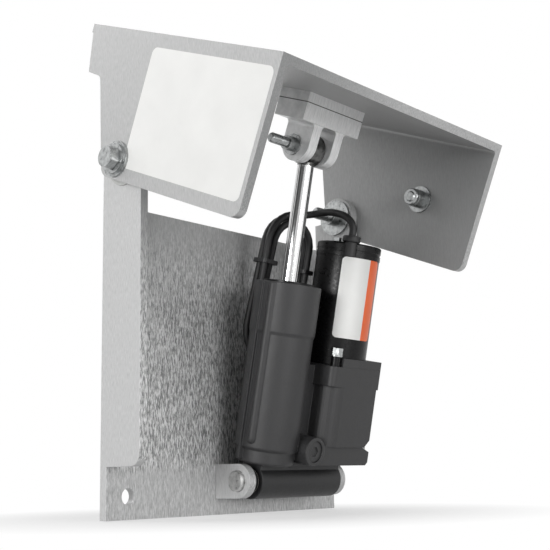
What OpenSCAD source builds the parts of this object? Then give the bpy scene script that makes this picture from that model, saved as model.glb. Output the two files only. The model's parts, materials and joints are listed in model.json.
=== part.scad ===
// Power trim and tilt unit for a small outboard motor.
// +Z is up, +X runs across the transom, and the motor hangs on the -Y side.
// The origin is the centre of the transom bolt pattern, on the face that lies against the transom.
// The unit is shown tilted up, with the ram almost fully out.

/* [Plates] */
// Thickness of the aluminium plate of both brackets
plate_t = 7.94; // [6:0.01:10]
// Radius inside the bends of both brackets
bend_r = 3; // [1:0.5:6]
// Gap between the side plates of the two brackets
side_gap = 1.2; // [0.8:0.1:3]

/* [Transom bracket] */
// Width across the outer faces of the side plates
bracket_w = 298.4; // [290:0.1:330]
// Height of the web
web_h = 272; // [262:1:280]
// Depth of the side plates from the transom face
flange_d = 50.8; // [47:0.1:58]
// Height of the side plates' lower ends above the web's lower edge
flange_low = 44; // [25:1:70]
// Radius of the lower front corners of the side plates
flange_r = 11; // [3:1:18]
// Height of the tilt axis above the web's lower edge
tilt_h = 305.5; // [300:0.5:312]

/* [Transom bolts] */
// Distance of the bolt holes from the outer faces of the side plates
bolt_edge = 23.8; // [22:0.1:30]
// Distance between the lower and the upper bolt holes
bolt_pitch_z = 203.2; // [180:0.1:220]
// Height of the lower bolt holes above the web's lower edge
bolt_low = 19.2; // [15:0.1:30]
// Diameter of the bolt holes
bolt_hole_d = 14.3; // [10:0.1:18]

/* [Motor bracket] */
// Length of the motor plate, from its rear edge to its front edge
roof_len = 250.5; // [230:0.5:280]
// Slope of the motor plate as shown, in degrees
roof_slope = 23.2; // [18:0.1:28]
// Depth of the side arms from the plate's top face
arm_d = 130; // [124:1:140]
// Distance of the tilt axis from the plate's rear edge
tilt_back = 85.6; // [78:0.1:92]
// Distance of the tilt axis below the plate's top face
tilt_drop = 112.7; // [108:0.1:114]
// Radius of the arms' lower front corners
arm_r = 9.5; // [3:0.5:20]
// Depth of the arms' rear edge, down to the throat
horn_h = 43.8; // [30:0.1:60]
// How far the arms' rear edge leans in over that depth
horn_lean = 10.8; // [2:0.1:16]
// Distance of the throat's corner from the plate's rear edge
throat_in = 30; // [24:0.5:36]
// Distance from the tilt axis back to the arms' lower rear corner
heel_back = 16.1; // [14:0.1:24]
// Radius of the throat and of the lower rear corner
throat_r = 6; // [2:0.5:9]

/* [Tilt bolts] */
// Diameter of the tilt bolts
tilt_bolt_d = 12.7; // [10:0.1:14]
// Length of the tilt bolts under the head
tilt_bolt_len = 57; // [50:0.5:66]
// Width across flats of the heads and nuts
tilt_af = 19; // [17:0.5:22]
// Height of the heads
tilt_head_h = 8; // [6:0.5:10]
// Height of the nuts
tilt_nut_h = 11; // [8:0.5:12]
// Diameter of the broad washers
broad_washer_d = 38; // [32:0.5:40]
// Thickness of the broad washers
broad_washer_t = 2.8; // [1.5:0.1:3.5]
// Diameter of the plain washers under the heads
plain_washer_d = 27; // [24:0.5:29]
// Thickness of the plain washers
plain_washer_t = 2.4; // [1.5:0.1:3]
// Wall of the nylon bushings on the tilt bolts
tilt_bush_wall = 1.6; // [1:0.1:2.5]

/* [Stop bolt] */
// Distance of the stop bolt from the plate's rear edge
stop_u = 180; // [160:1:200]
// Distance of the stop bolt below the plate's top face
stop_v = 70.5; // [50:0.5:90]
// Length of the stop bolt under its head
stop_bolt_len = 38; // [32:0.5:44]

/* [Ram clevis] */
// Distance of the clevis bolt from the plate's rear edge
clevis_u = 143.6; // [136:0.1:150]
// Distance of the clevis bolt below the plate's top face
clevis_v = 56.2; // [53:0.1:60]
// Distance of the ram from the right side plate
ram_in = 132.76; // [127:0.01:137]
// Width of the clevis base
clevis_w = 79.3; // [72:0.5:80]
// Thickness of the clevis base
clevis_base_t = 25.7; // [20:0.1:26]
// Radius of the lugs about the clevis bolt
lug_r = 17; // [16:0.5:19]
// Distance of the lugs' round in front of the clevis bolt
lug_fore = 3; // [0:0.5:3.5]
// Distance of the lugs' round above the clevis bolt
lug_up = 2.5; // [0:0.5:3.5]
// Thickness of each lug
lug_t = 10.8; // [9:0.1:12]
// Gap between the lugs
lug_gap = 20.4; // [19:0.1:24]
// Radius at the lugs' roots
lug_root_r = 4; // [2:0.5:6]
// Diameter of the clevis bolt
clevis_bolt_d = 9.5; // [8:0.1:10]
// Length of the clevis bolt under its head
clevis_bolt_len = 75; // [66:0.5:80]
// Width across flats of the clevis bolt's head and nut
clevis_af = 14.3; // [12.5:0.1:16]
// Diameter of the clevis bolt's washers
clevis_washer_d = 20; // [18:0.5:24]

/* [Lower pivot] */
// Height of the lower pin above the web's lower edge
pin_h = 30; // [26:0.5:36]
// Distance of the lower pin from the transom face
pin_off = 36.5; // [35:0.5:40]
// Diameter of the lower pin
pin_d = 19; // [16:0.1:20]
// Radius of the ears about the lower pin
ear_r = 15.5; // [14:0.5:18]
// How far the pin stands out of each ear
pin_proud = 4; // [3:0.1:6]
// Wall of the nylon bushings in the sleeve
pin_bush_wall = 1.6; // [1:0.1:2.5]
// Width of the spacer between the left ear and the sleeve
spacer_w = 7.4; // [4:0.1:10]

/* [Ram casting] */
// Radius of the pivot sleeve
sleeve_r = 16.5; // [15.5:0.5:18]
// Length of the pivot sleeve
sleeve_len = 112; // [110:0.5:120]
// Distance of the sleeve's left end from the ram's axis
sleeve_left = 14.7; // [12:0.1:20]
// Radius of the cylinder
cyl_r = 30; // [27:0.5:30.5]
// Radius of the cylinder's head
head_r = 31; // [28:0.5:31.5]
// Distance from the lower pin to the cylinder's lower end
cyl_low = 32; // [28:0.5:36]
// Distance from the lower pin to the lower end of the head
head_low = 137; // [125:1:150]
// Distance from the lower pin to the top of the casting
cyl_top = 184; // [182:0.5:188]
// Bore of the cylinder
bore_d = 38.1; // [34:0.1:42]
// Diameter of the piston rod
rod_d = 15.88; // [12:0.01:18]
// Radius of the rod's eye
eye_r = 15; // [14.6:0.1:15.2]
// Radius of the gland
gland_r = 23.6; // [21:0.1:25]
// Length of the gland below the top of the casting
gland_len = 26; // [20:0.5:30]
// Height of the gland's rim above the casting
gland_rim = 2; // [1:0.1:3]

/* [Pump casting] */
// Distance of the motor's axis from the ram's axis
motor_x = 72; // [71:0.5:76]
// Distance of the motor's axis in front of the ram's axis
motor_n = 7; // [5:0.5:8]
// Width of the collar under the motor
collar_w = 72; // [70:0.5:76]
// Distance from the lower pin to the collar's lower edge
collar_low = 95; // [90:0.5:100]
// Distance from the lower pin to the collar's top face
collar_top = 114; // [110:0.5:118]
// Distance of the collar's front face from the ram's axis
collar_n = 39; // [38.5:0.1:41]
// Distance from the lower pin to the lower end of the pump body
body_low = 38.5; // [38:0.5:44]
// Distance from the lower pin to the lower end of the foot
foot_low = 20.5; // [18:0.5:22]
// Distance from the ram's axis to the relief valve's boss
boss_x = 28; // [26:0.5:32]
// Distance from the lower pin up to the relief valve's boss
boss_s = 33.5; // [32:0.5:35]
// Radius of the relief valve's boss
boss_r = 13.3; // [12:0.1:13.6]

/* [Motor] */
// Radius of the motor's can
can_r = 31; // [28:0.1:31.2]
// Distance from the lower pin to the can's upper end
can_top = 219; // [212:0.5:220]
// Length of the motor's end cap
cap_len = 13.5; // [10:0.5:14]
// Wall of the motor's can
can_wall = 2; // [1.5:0.1:3]

/* [Pump] */
// Distance between the axes of the two pump gears
gear_centres = 14; // [13:0.1:14.5]
// Width of the pump gears
gear_w = 9; // [6:0.5:11]

/* [Cable] */
// Diameter of the motor's cable
cable_d = 7; // [5:0.1:7.2]

/* [Hidden] */

$fn = 72;
// Steps of each rounded corner
corner_steps = 7;
// Overrun of every cut
cut = 1;
// Depth by which one form runs into the next form of the same piece
sink = 1;
// Clearance of running fits, on the radius
run_clear = 0.05;
// Clearance between pieces that don't move on each other
set_clear = 0.02;
// Clearance of bolts in their holes, on the radius
bolt_clear = 0.3;
// Ratio of a hexagon's corners to its flats
hex_ratio = 1 / cos(30);

// Transom bracket
web_z = -bolt_low - bolt_pitch_z / 2;
web_in = -plate_t;
flange_top_r = (flange_d - plate_t) / 2;
tilt_y = -(flange_d + plate_t) / 2;
tilt_z = web_z + tilt_h;
flange_in = bracket_w / 2 - plate_t;
bolt_pitch_x = bracket_w - 2 * bolt_edge;
ram_x = flange_in - ram_in;

// Motor bracket
arm_in = bracket_w / 2 + side_gap;
arm_out = arm_in + plate_t;
bush_flange_t = side_gap * 0.75;
tilt_bush_r = tilt_bolt_d / 2 + run_clear + tilt_bush_wall;
tilt_stack = broad_washer_t + plain_washer_t;

// Stop bolt
stop_bolt_d = tilt_bolt_d;

// Clevis
clevis_du = clevis_u - tilt_back;
clevis_dv = clevis_v - tilt_drop;
clevis_y = tilt_y - clevis_du * cos(roof_slope) + clevis_dv * sin(roof_slope);
clevis_z = tilt_z - clevis_du * sin(roof_slope) - clevis_dv * cos(roof_slope);
clevis_seat_v = plate_t + clevis_base_t;
lug_in = lug_gap / 2;
lug_out = lug_in + lug_t;
clevis_head_h = 6.4;
clevis_nut_h = 8.5;
clevis_washer_t = 1.6;
clevis_screw_d = 8;
clevis_screw_len = 22;
clevis_screw_x = clevis_w / 2 - 10;
clevis_base_r = lug_r + 1.5;
clevis_screw_du = clevis_base_r - 9.5;

// Lower pivot
pin_y = -pin_off;
pin_z = web_z + pin_h;
pin_r = pin_d / 2;
ear_play = 0.3;
sleeve_x0 = ram_x - sleeve_left;
sleeve_x1 = sleeve_x0 + sleeve_len;
ear_left_in = sleeve_x0 - spacer_w - 2 * ear_play;
ear_right_in = sleeve_x1 + ear_play;
clip_t = 1.5;
clip_groove = 1.2;
clip_wall = 2.6;
pin_chamfer = 1.4;
pin_bush_r = pin_r + run_clear + pin_bush_wall;
pin_bush_len = 30;

// Ram
ram_dy = pin_y - clevis_y;
ram_dz = clevis_z - pin_z;
ram_lean = atan2(ram_dy, ram_dz);
ram_len = norm([ram_dy, ram_dz]);
rod_r = rod_d / 2;
bore_r = bore_d / 2;
bore_floor = 38;
gland_low = cyl_top - gland_len;
piston_travel_up = 5;
piston_top = gland_low - piston_travel_up;
piston_t = 14;
piston_r = bore_r - run_clear;
piston_ring_h = 4;
piston_ring_depth = 3;
piston_nut_h = 7.5;
piston_nut_af = 17;
piston_spigot_r = rod_r - 2;
eye_w = lug_gap - 4.4;
eye_slack = 8.9;
eye_bore_r = clevis_bolt_d / 2 + eye_slack;
eye_shank_top = eye_bore_r - 1;
rod_top = eye_r + 1;
seal_h = 6;
seal_depth = 3.5;
seal_low = gland_low + 7;
wiper_h = 5;
wiper_depth = 3;

// Neck, ribs and shoulders of the ram casting
neck_r = cyl_r - 2.4;
neck_low = sleeve_r + 1;
saddle_half = sleeve_r * 0.7;
neck_fillet = 2.4;
shoulder = 1.5;
rib_angle = 6;
rib_w = 3;
rib_proud = 1.6;
heel_low = neck_low + rib_w;
bead_angle = 15;
bead_r = 4.5;
bead_sink = 2.3;
bead_low = 40;
web_half = 15;
web_top = 112;

// Pump casting
collar_x0 = motor_x - collar_w / 2;
collar_x1 = motor_x + collar_w / 2;
collar_back = can_r - motor_n + 0.2;
collar_r = 6;
collar_edge_r = 1.5;
body_inset = 2.5;
body_front_r = 16;
foot_n = 35.5;
foot_out = 2.5;
foot_x1 = collar_x1 + foot_out;
notch = 8;
notch_low = 5;
pump_r = 26;
pump_floor = 88;
cover_t = 4;
gear_top = collar_top - cover_t - 1;
pump_block_top = collar_top - cover_t;
plug_r = 10;
plug_dish = 1.2;
plug_depth = 9;
pad_r = boss_r + 6;
pad_n = 14;
boss_proud = 1.5;
fill_r = 8;
fill_s = (body_low + collar_low) / 2;
fill_y = -8;
release_r = 5;
release_s = foot_low + 7;

// Motor
gasket_t = 0.8;
base_low = collar_top + gasket_t;
base_h = 7.5;
can_low = base_low + base_h;
cap_r = can_r + 0.5;
cap_top = can_top + cap_len;
shaft_r = 4;
magnet_t = 5;
magnet_low = can_low + 14;
magnet_top = can_top - 24;
magnet_r = can_r - can_wall;
air_gap = 0.8;
core_r = magnet_r - magnet_t - air_gap;
brush_low = can_top - 10;
brush_t = 3;
screw_r = 3;
screw_x = 28.5;
screw_n = 26;
spacer_r = 4.4;
screw_head_af = 10;
screw_head_h = 8;
clamp_t = 8.3;
clamp_from = collar_x0 + 13;
through_r = 2.5;
through_ring = can_r - can_wall - through_r - bolt_clear;
through_angle = 10;
through_grip = 5;
tie_rise = 20;

// Gear teeth, as shares of a pitch radius or in degrees
gear_teeth = 12;
gear_pitch_r = gear_centres / 2;
gear_tip_r = gear_pitch_r * 1.155;
gear_root_r = gear_pitch_r * 0.79;
tooth_root_half = 9.6;
tooth_pitch_half = 6.8;
tooth_tip_half = 3.3;
gear_shaft_r = 3;
gear_clear = 0.25;

// Cable: the boot on the end cap, the lead and the hank
boot_x = 52;
boot_y = -25;
boot_low = can_top + 2;
boot_top = can_top + 20;
boot_r = 6.8;
boot_rib_r = 7.8;
boot_cuff_r = 8.6;
boot_cuff_h = 6;
boot_ribs = 3;
hank_x = 28.5;
hank_y = 36;
hank_turn = -6;
hank_lean = 4;
hank_s = 182;
hank_run = 82;
hank_r = 31;
hank_pitch = 8;
hank_turns = 2.5;
hank_rings = 24;
hank_sides = 6;
hank_tail = 2;
lead_sides = 8;
tie_h = 4;
tie_wall = 1.3;
plug_len = 26;
plug_w = 13;
plug_d = 10;
plug_back = 1.5;
plug_drop = 2.5;

// The lead from the boot to the hank, beside the rod, in the ram's frame
lead_route = [[52, -25, 239], [52, -25, 246], [51.5, -22, 252.3], [50.5, -15, 257.4], [49.5, -5, 260],
    [48.5, 5, 260.5], [47.3, 14, 259.2], [44.3, 22, 257.2], [40, 28, 255.4]];

function unit(v) = v / norm(v);

// Points of the corner q, between p and r, rounded to the radius in q's third number
function rounded_corner(p, q, r) =
    q[2] <= 0 ? [[q[0], q[1]]] :
    let (o = [q[0], q[1]], a = unit([p[0], p[1]] - o), b = unit([r[0], r[1]] - o),
        half = acos(a * b) / 2, back = q[2] / tan(half),
        centre = o + unit(a + b) * q[2] / sin(half),
        from = o + a * back - centre, to = o + b * back - centre, sweep = 180 - 2 * half)
    [for (i = [0:corner_steps])
        centre + (sin(sweep * (1 - i / corner_steps)) * from + sin(sweep * i / corner_steps) * to) / sin(sweep)];

// An outline whose corners are given as [x, y, radius]
function outline(corners) =
    [for (i = [0:len(corners) - 1])
        each rounded_corner(corners[(i + len(corners) - 1) % len(corners)], corners[i],
            corners[(i + 1) % len(corners)])];

module across(x0, x1, r) {
    translate([x0, 0, 0]) rotate([0, 90, 0]) cylinder(r = r, h = x1 - x0);
}

module hex_across(x0, x1, af) {
    translate([x0, 0, 0]) rotate([0, 90, 0]) cylinder(d = af * hex_ratio, h = x1 - x0, $fn = 6);
}

// Stands a (y, z) outline up across x
module side_plate(x, t) {
    translate([x, 0, 0]) rotate([90, 0, 90]) linear_extrude(t) children();
}

module box_between(low, high) {
    translate(low) cube(high - low);
}

module on_tilt_axis() {
    translate([0, tilt_y, tilt_z]) children();
}

// The motor bracket's frame: the plate's rear top edge, x across, -y forward, -z down
module on_motor_bracket() {
    on_tilt_axis() rotate([roof_slope, 0, 0]) translate([0, tilt_back, tilt_drop]) children();
}

module on_clevis_axis() {
    on_motor_bracket() translate([ram_x, -clevis_u, -clevis_v]) children();
}

module on_stop_axis() {
    on_motor_bracket() translate([0, -stop_u, -stop_v]) children();
}

module on_lower_pin() {
    translate([0, pin_y, pin_z]) children();
}

// The ram's frame: the lower pin, z along the rod, -y to the front
module on_ram() {
    translate([ram_x, pin_y, pin_z]) rotate([ram_lean, 0, 0]) children();
}

module on_motor() {
    on_ram() translate([motor_x, -motor_n, 0]) children();
}

module tube_between(z0, z1, outer, inner) {
    difference() {
        translate([0, 0, z0]) cylinder(r = outer, h = z1 - z0);
        translate([0, 0, z0 - cut]) cylinder(r = inner, h = z1 - z0 + 2 * cut);
    }
}

module washer(x0, x1, outer, inner) {
    difference() {
        across(x0, x1, outer);
        across(x0 - cut, x1 + cut, inner);
    }
}

// Fillet along a bend, filling the corner at the origin of the first quadrant
module bend_fillet(r) {
    difference() {
        translate([-sink, -sink]) square(r + sink);
        translate([r, r]) circle(r = r);
    }
}

// Transom bracket

module flange_outline() {
    low = web_z + flange_low;
    polygon(outline([[0, low, 0], [-flange_d, low, flange_r], [-flange_d, tilt_z, 0],
        [web_in, tilt_z, 0], [web_in, web_z + web_h, 0], [0, web_z + web_h, 0]]));
    translate([tilt_y, tilt_z]) circle(r = flange_top_r);
}

module transom_bracket() {
    color("gainsboro") difference() {
        union() {
            box_between([-bracket_w / 2, web_in, web_z], [bracket_w / 2, 0, web_z + web_h]);
            for (x = [-bracket_w / 2, flange_in]) side_plate(x, plate_t) flange_outline();
            for (side = [0, 1]) mirror([side, 0, 0])
                translate([-flange_in, web_in, web_z + flange_low]) mirror([0, 1, 0])
                    linear_extrude(web_h - flange_low) bend_fillet(bend_r);
        }
        for (x = [-1, 1], z = [-1, 1])
            translate([x * bolt_pitch_x / 2, cut, z * bolt_pitch_z / 2]) rotate([90, 0, 0])
                cylinder(d = bolt_hole_d, h = plate_t + 2 * cut);
        on_tilt_axis() across(-bracket_w / 2 - cut, bracket_w / 2 + cut, tilt_bolt_d / 2 + bolt_clear);
    }
}

module ear_outline() {
    translate([0, -ear_r]) square([pin_off - plate_t, 2 * ear_r]);
    circle(r = ear_r);
}

module pivot_ears() {
    color("silver") on_lower_pin() difference() {
        for (x = [ear_left_in - plate_t, ear_right_in]) side_plate(x, plate_t) ear_outline();
        across(ear_left_in - plate_t - cut, ear_right_in + plate_t + cut, pin_r + run_clear);
    }
}

pin_x0 = ear_left_in - plate_t - pin_proud;
pin_x1 = ear_right_in + plate_t + pin_proud;

module lower_pin() {
    color("lightgray") on_lower_pin() difference() {
        across(pin_x0, pin_x1, pin_r);
        for (end = [0, 1])
            translate([end * (pin_x0 + pin_x1), 0, 0]) mirror([end, 0, 0]) translate([pin_x0, 0, 0])
                rotate([0, 90, 0]) rotate_extrude()
                    polygon([[pin_r - pin_chamfer, 0], [pin_r + cut, 0], [pin_r + cut, pin_chamfer + cut],
                        [pin_r, pin_chamfer]]);
        washer(ear_right_in + plate_t + set_clear, ear_right_in + plate_t + set_clear + clip_t,
            pin_r + cut, pin_r - clip_groove);
    }
}

module pin_clips() {
    x0 = ear_right_in + plate_t + set_clear;
    color("dimgray") on_lower_pin() difference() {
        washer(x0 + set_clear, x0 + clip_t - set_clear, pin_r + clip_wall, pin_r - clip_groove + set_clear);
        box_between([x0 - cut, 0, -pin_r / 2], [x0 + clip_t + cut, pin_r + clip_wall + cut, pin_r / 2]);
    }
}

module pin_spacer() {
    x1 = sleeve_x0 - ear_play;
    color("black") on_lower_pin() washer(x1 - spacer_w, x1, pin_bush_r, pin_r + run_clear);
}

// Tilt bolts: head and washers outside the arms, nuts inside the side plates

module both_sides() {
    for (side = [0, 1]) mirror([side, 0, 0]) children();
}

module tilt_bolts() {
    head = -arm_out - tilt_stack;
    color("silver") on_tilt_axis() both_sides() {
        across(head - sink, head + tilt_bolt_len, tilt_bolt_d / 2);
        intersection() {
            hex_across(head - tilt_head_h, head, tilt_af);
            translate([head - tilt_head_h, 0, 0]) rotate([0, 90, 0])
                cylinder(r1 = tilt_af / 2, r2 = tilt_af / 2 + tilt_head_h * 2, h = tilt_head_h * 2);
        }
    }
}

module tilt_washers() {
    inner = tilt_bolt_d / 2 + bolt_clear;
    color("lightgray") on_tilt_axis() both_sides() {
        washer(-arm_out - broad_washer_t, -arm_out, plain_washer_d / 2 + plain_washer_t, inner);
        washer(-arm_out - tilt_stack, -arm_out - broad_washer_t, plain_washer_d / 2, inner);
        washer(-flange_in, -flange_in + broad_washer_t, broad_washer_d / 2, inner);
    }
}

module tilt_nuts() {
    nut = -flange_in + broad_washer_t;
    color("silver") on_tilt_axis() both_sides() difference() {
        hex_across(nut, nut + tilt_nut_h, tilt_af);
        across(nut - cut, nut + tilt_nut_h + cut, tilt_bolt_d / 2 + set_clear);
    }
}

// Motor bracket

module arm_outline() {
    polygon(outline([[0, 0, 0], [-horn_lean, -horn_h, plate_t / 4],
        [-throat_in, -horn_h - (tilt_drop - horn_h) / 40, throat_r],
        [-tilt_back + heel_back, -arm_d, throat_r * 2], [-roof_len, -arm_d, arm_r], [-roof_len, 0, 0]]));
}

module motor_bracket() {
    color("lightgray") difference() {
        on_motor_bracket() {
            box_between([-arm_out, -roof_len, -plate_t], [arm_out, 0, 0]);
            for (x = [-arm_out, arm_in]) side_plate(x, plate_t) arm_outline();
            both_sides() translate([-arm_in, 0, -plate_t]) rotate([90, 0, 0])
                linear_extrude(roof_len) mirror([0, 1, 0]) bend_fillet(bend_r);
        }
        on_tilt_axis() across(-arm_out - cut, arm_out + cut, tilt_bush_r + set_clear);
        on_stop_axis() across(arm_in - cut, arm_out + cut, stop_bolt_d / 2 + bolt_clear);
        on_motor_bracket() clevis_screw_places() {
            translate([0, 0, -plate_t - cut]) cylinder(d = clevis_screw_d + 2 * bolt_clear, h = plate_t + 2 * cut);
            screw_countersink(bolt_clear);
        }
    }
}

module clevis_screw_places() {
    for (x = [-1, 1], u = [-1, 1])
        translate([ram_x + x * clevis_screw_x, -clevis_u - lug_fore + u * clevis_screw_du, 0]) children();
}

module screw_countersink(extra) {
    r = clevis_screw_d / 2 + extra;
    rotate_extrude() polygon([[0, -r], [r, -r], [2 * r, 0], [2 * r, extra], [0, extra]]);
}

module tilt_bushings() {
    flange_x = -bracket_w / 2 - (side_gap - bush_flange_t) / 2;
    color("black") on_tilt_axis() both_sides() difference() {
        union() {
            across(-arm_out, flange_x, tilt_bush_r);
            across(-arm_in + set_clear, flange_x, flange_top_r);
        }
        across(-arm_out - cut, flange_x + cut, tilt_bolt_d / 2 + run_clear);
    }
}

module lug_outline() {
    translate([-lug_fore, lug_up]) {
        translate([-lug_r, 0]) square([2 * lug_r, clevis_v - clevis_seat_v - lug_up + sink]);
        circle(r = lug_r);
    }
}

module ram_clevis() {
    base = clevis_v - clevis_seat_v;
    color("darkgray") on_clevis_axis() difference() {
        union() {
            box_between([-clevis_w / 2, -lug_fore - clevis_base_r, base],
                [clevis_w / 2, clevis_base_r - lug_fore, base + clevis_base_t]);
            for (x = [-lug_out, lug_in]) side_plate(x, lug_t) lug_outline();
            both_sides() translate([0, lug_r - lug_fore, base]) rotate([90, 0, 0]) linear_extrude(2 * lug_r) {
                translate([-lug_out, 0]) mirror([1, 1, 0]) bend_fillet(lug_root_r);
                translate([-lug_in, 0]) mirror([0, 1, 0]) bend_fillet(lug_root_r);
            }
        }
        across(-lug_out - cut, lug_out + cut, clevis_bolt_d / 2 + bolt_clear);
        translate([-ram_x, clevis_u, clevis_v]) clevis_screw_places()
            translate([0, 0, -clevis_screw_len - cut]) cylinder(d = clevis_screw_d + 2 * set_clear, h = clevis_screw_len);
    }
}

module clevis_screws() {
    color("dimgray") on_motor_bracket() clevis_screw_places() difference() {
        union() {
            translate([0, 0, -clevis_screw_len]) cylinder(d = clevis_screw_d, h = clevis_screw_len - sink);
            screw_countersink(0);
        }
        translate([0, 0, -clevis_screw_d / 3]) cylinder(d = clevis_screw_d * 0.7, h = clevis_screw_d, $fn = 6);
    }
}

// The head is on the right, the long threaded end on the left
module clevis_bolt() {
    head = lug_out + clevis_washer_t;
    color("lightgray") on_clevis_axis() {
        across(head - clevis_bolt_len, head + sink, clevis_bolt_d / 2);
        hex_across(head, head + clevis_head_h, clevis_af);
    }
}

module clevis_washers() {
    inner = clevis_bolt_d / 2 + bolt_clear;
    color("silver") on_clevis_axis() both_sides()
        washer(-lug_out - clevis_washer_t, -lug_out, clevis_washer_d / 2, inner);
}

module clevis_nut() {
    nut = -lug_out - clevis_washer_t;
    color("silver") on_clevis_axis() difference() {
        hex_across(nut - clevis_nut_h, nut, clevis_af);
        across(nut - clevis_nut_h - cut, nut + cut, clevis_bolt_d / 2 + set_clear);
    }
}

module stop_bolt() {
    head = arm_out + plain_washer_t;
    color("silver") on_stop_axis() {
        across(head - stop_bolt_len, head + sink, stop_bolt_d / 2);
        hex_across(head, head + tilt_head_h, tilt_af);
    }
}

module stop_washers() {
    inner = stop_bolt_d / 2 + bolt_clear;
    color("lightgray") on_stop_axis() {
        washer(arm_out, arm_out + plain_washer_t, plain_washer_d / 2, inner);
        washer(arm_in - plain_washer_t, arm_in, plain_washer_d / 2, inner);
    }
}

module stop_nut() {
    nut = arm_in - plain_washer_t;
    color("silver") on_stop_axis() difference() {
        hex_across(nut - tilt_nut_h, nut, tilt_af);
        across(nut - tilt_nut_h - cut, nut + cut, stop_bolt_d / 2 + set_clear);
    }
}

// Ram casting: pivot sleeve, cylinder, web and pump housing in one piece

function collar_corners(inset, front_r) = [
    [collar_x0 + inset, -collar_n, front_r], [collar_x1 - inset, -collar_n, collar_edge_r],
    [collar_x1 - inset, collar_back, collar_r], [collar_x0 + inset, collar_back, collar_r]];

module collar_plan() {
    polygon(outline(collar_corners(0, collar_r)));
}

// Front outline of the pump body, with the chamfers of the notch at its lower right
module body_front() {
    right = collar_x1 - body_inset;
    polygon([[0, collar_top], [collar_x1, collar_top], [collar_x1, collar_low + body_inset],
        [right, collar_low], [right, body_low + notch], [right - notch, body_low], [0, body_low - sink]]);
}

module foot_front() {
    polygon([[0, foot_low], [foot_x1 - collar_r / 2, foot_low], [foot_x1, foot_low + collar_r / 2],
        [foot_x1, body_low - notch_low], [collar_x1 - body_inset - notch, body_low], [0, body_low + sink]]);
}

module front_extrude(y0, y1) {
    translate([0, y1, 0]) rotate([90, 0, 0]) linear_extrude(y1 - y0) children();
}

module pump_body() {
    translate([0, 0, collar_low]) linear_extrude(collar_top - collar_low) collar_plan();
    intersection() {
        translate([0, 0, body_low - sink]) linear_extrude(collar_low - body_low + 2 * sink)
            polygon(outline(collar_corners(body_inset, body_front_r)));
        front_extrude(-collar_n - cut, collar_back + cut) body_front();
    }
    front_extrude(-foot_n, collar_back - body_inset) intersection() {
        foot_front();
        translate([boss_x - boss_r / 2, 0]) square(collar_x1 + collar_top);
    }
    box_between([0, -web_half, neck_low + sink], [collar_x0 + collar_r + body_inset, web_half, web_top]);
}

module relief_boss() {
    translate([boss_x, 0, boss_s]) rotate([90, 0, 0]) {
        cylinder(r = pad_r, h = pad_n);
        cylinder(r = boss_r, h = foot_n + boss_proud);
    }
}

module cylinder_body() {
    rotate_extrude() polygon(outline([[0, neck_low, 0], [neck_r, neck_low, neck_fillet],
        [neck_r, cyl_low - neck_fillet, 0], [cyl_r, cyl_low, neck_fillet],
        [cyl_r, head_low - shoulder, 0], [head_r, head_low + shoulder, shoulder],
        [head_r, cyl_top, shoulder / 2], [0, cyl_top, 0]]));
}

// Ribs on the left of the cylinder: the parting line's and a round bead
module cylinder_ribs() {
    rotate([0, 0, -rib_angle])
        box_between([-head_r - rib_proud, -rib_w / 2, heel_low],
            [-bore_r - sink, rib_w / 2, cyl_top - shoulder]);
    rotate([0, 0, bead_angle]) translate([-head_r + bead_sink, 0, 0]) {
        translate([0, 0, bead_low]) cylinder(r = bead_r, h = cyl_top - bead_low - shoulder);
        translate([0, 0, bead_low]) sphere(r = bead_r);
    }
}

module sleeve() {
    across(-sleeve_left, sleeve_len - sleeve_left, sleeve_r);
    box_between([-sleeve_left, -saddle_half, 0], [collar_x0, saddle_half, neck_low + sink]);
    box_between([collar_x0 - sink, -saddle_half, 0],
        [sleeve_len - sleeve_left - sink, saddle_half, foot_low + sink]);
}

module ram_housing() {
    color("dimgray") on_ram() difference() {
        union() {
            cylinder_body();
            cylinder_ribs();
            sleeve();
            pump_body();
            relief_boss();
            translate([collar_x1 - body_inset - sink, fill_y, fill_s]) rotate([0, 90, 0])
                cylinder(r = fill_r + body_inset, h = body_inset + sink);
        }
        across(-sleeve_left - cut, sleeve_len - sleeve_left + cut, pin_bush_r + set_clear);
        translate([0, 0, bore_floor]) cylinder(r = bore_r, h = cyl_top);
        translate([0, 0, gland_low]) cylinder(r = gland_r + set_clear, h = gland_len + cut);
        translate([motor_x, -motor_n, pump_floor]) cylinder(r = pump_r + set_clear, h = collar_top);
        translate([boss_x, 0, boss_s]) rotate([90, 0, 0])
            translate([0, 0, foot_n + boss_proud - plug_depth]) cylinder(r = plug_r + set_clear, h = plug_depth + cut);
        translate([collar_x1 - fill_r, fill_y, fill_s]) rotate([0, 90, 0])
            cylinder(r = fill_r * 0.75 + set_clear, h = fill_r + cut);
        translate([foot_x1 - release_r * 3, 0, release_s]) rotate([0, 90, 0])
            cylinder(r = release_r + set_clear, h = release_r * 3 + cut);
        screw_places() translate([0, 0, collar_top - screw_head_h * 2]) cylinder(r = screw_r + set_clear, h = collar_low);
    }
}

module screw_places() {
    for (side = [0, 1]) translate([motor_x, -motor_n, 0]) rotate([0, 0, side * 180])
        translate([-screw_x, -screw_n, 0]) children();
}

module pin_bushings() {
    color("ivory") on_ram() for (x = [-sleeve_left, sleeve_len - sleeve_left - pin_bush_len])
        washer(x, x + pin_bush_len, pin_bush_r, pin_r + run_clear);
}

module gland() {
    rim_top = cyl_top + gland_rim;
    color("black") on_ram() difference() {
        translate([0, 0, gland_low]) cylinder(r = gland_r, h = rim_top - gland_low);
        translate([0, 0, gland_low - cut]) cylinder(r = rod_r + run_clear, h = gland_len + gland_rim + 2 * cut);
        translate([0, 0, seal_low]) cylinder(r = rod_r + seal_depth, h = seal_h);
        translate([0, 0, rim_top - wiper_h]) cylinder(r = rod_r + wiper_depth, h = wiper_h + cut);
        for (side = [-1, 1]) translate([side * (gland_r + rod_r) / 2, 0, cyl_top - gland_rim])
            cylinder(r = gland_rim, h = rim_top);
    }
}

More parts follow.
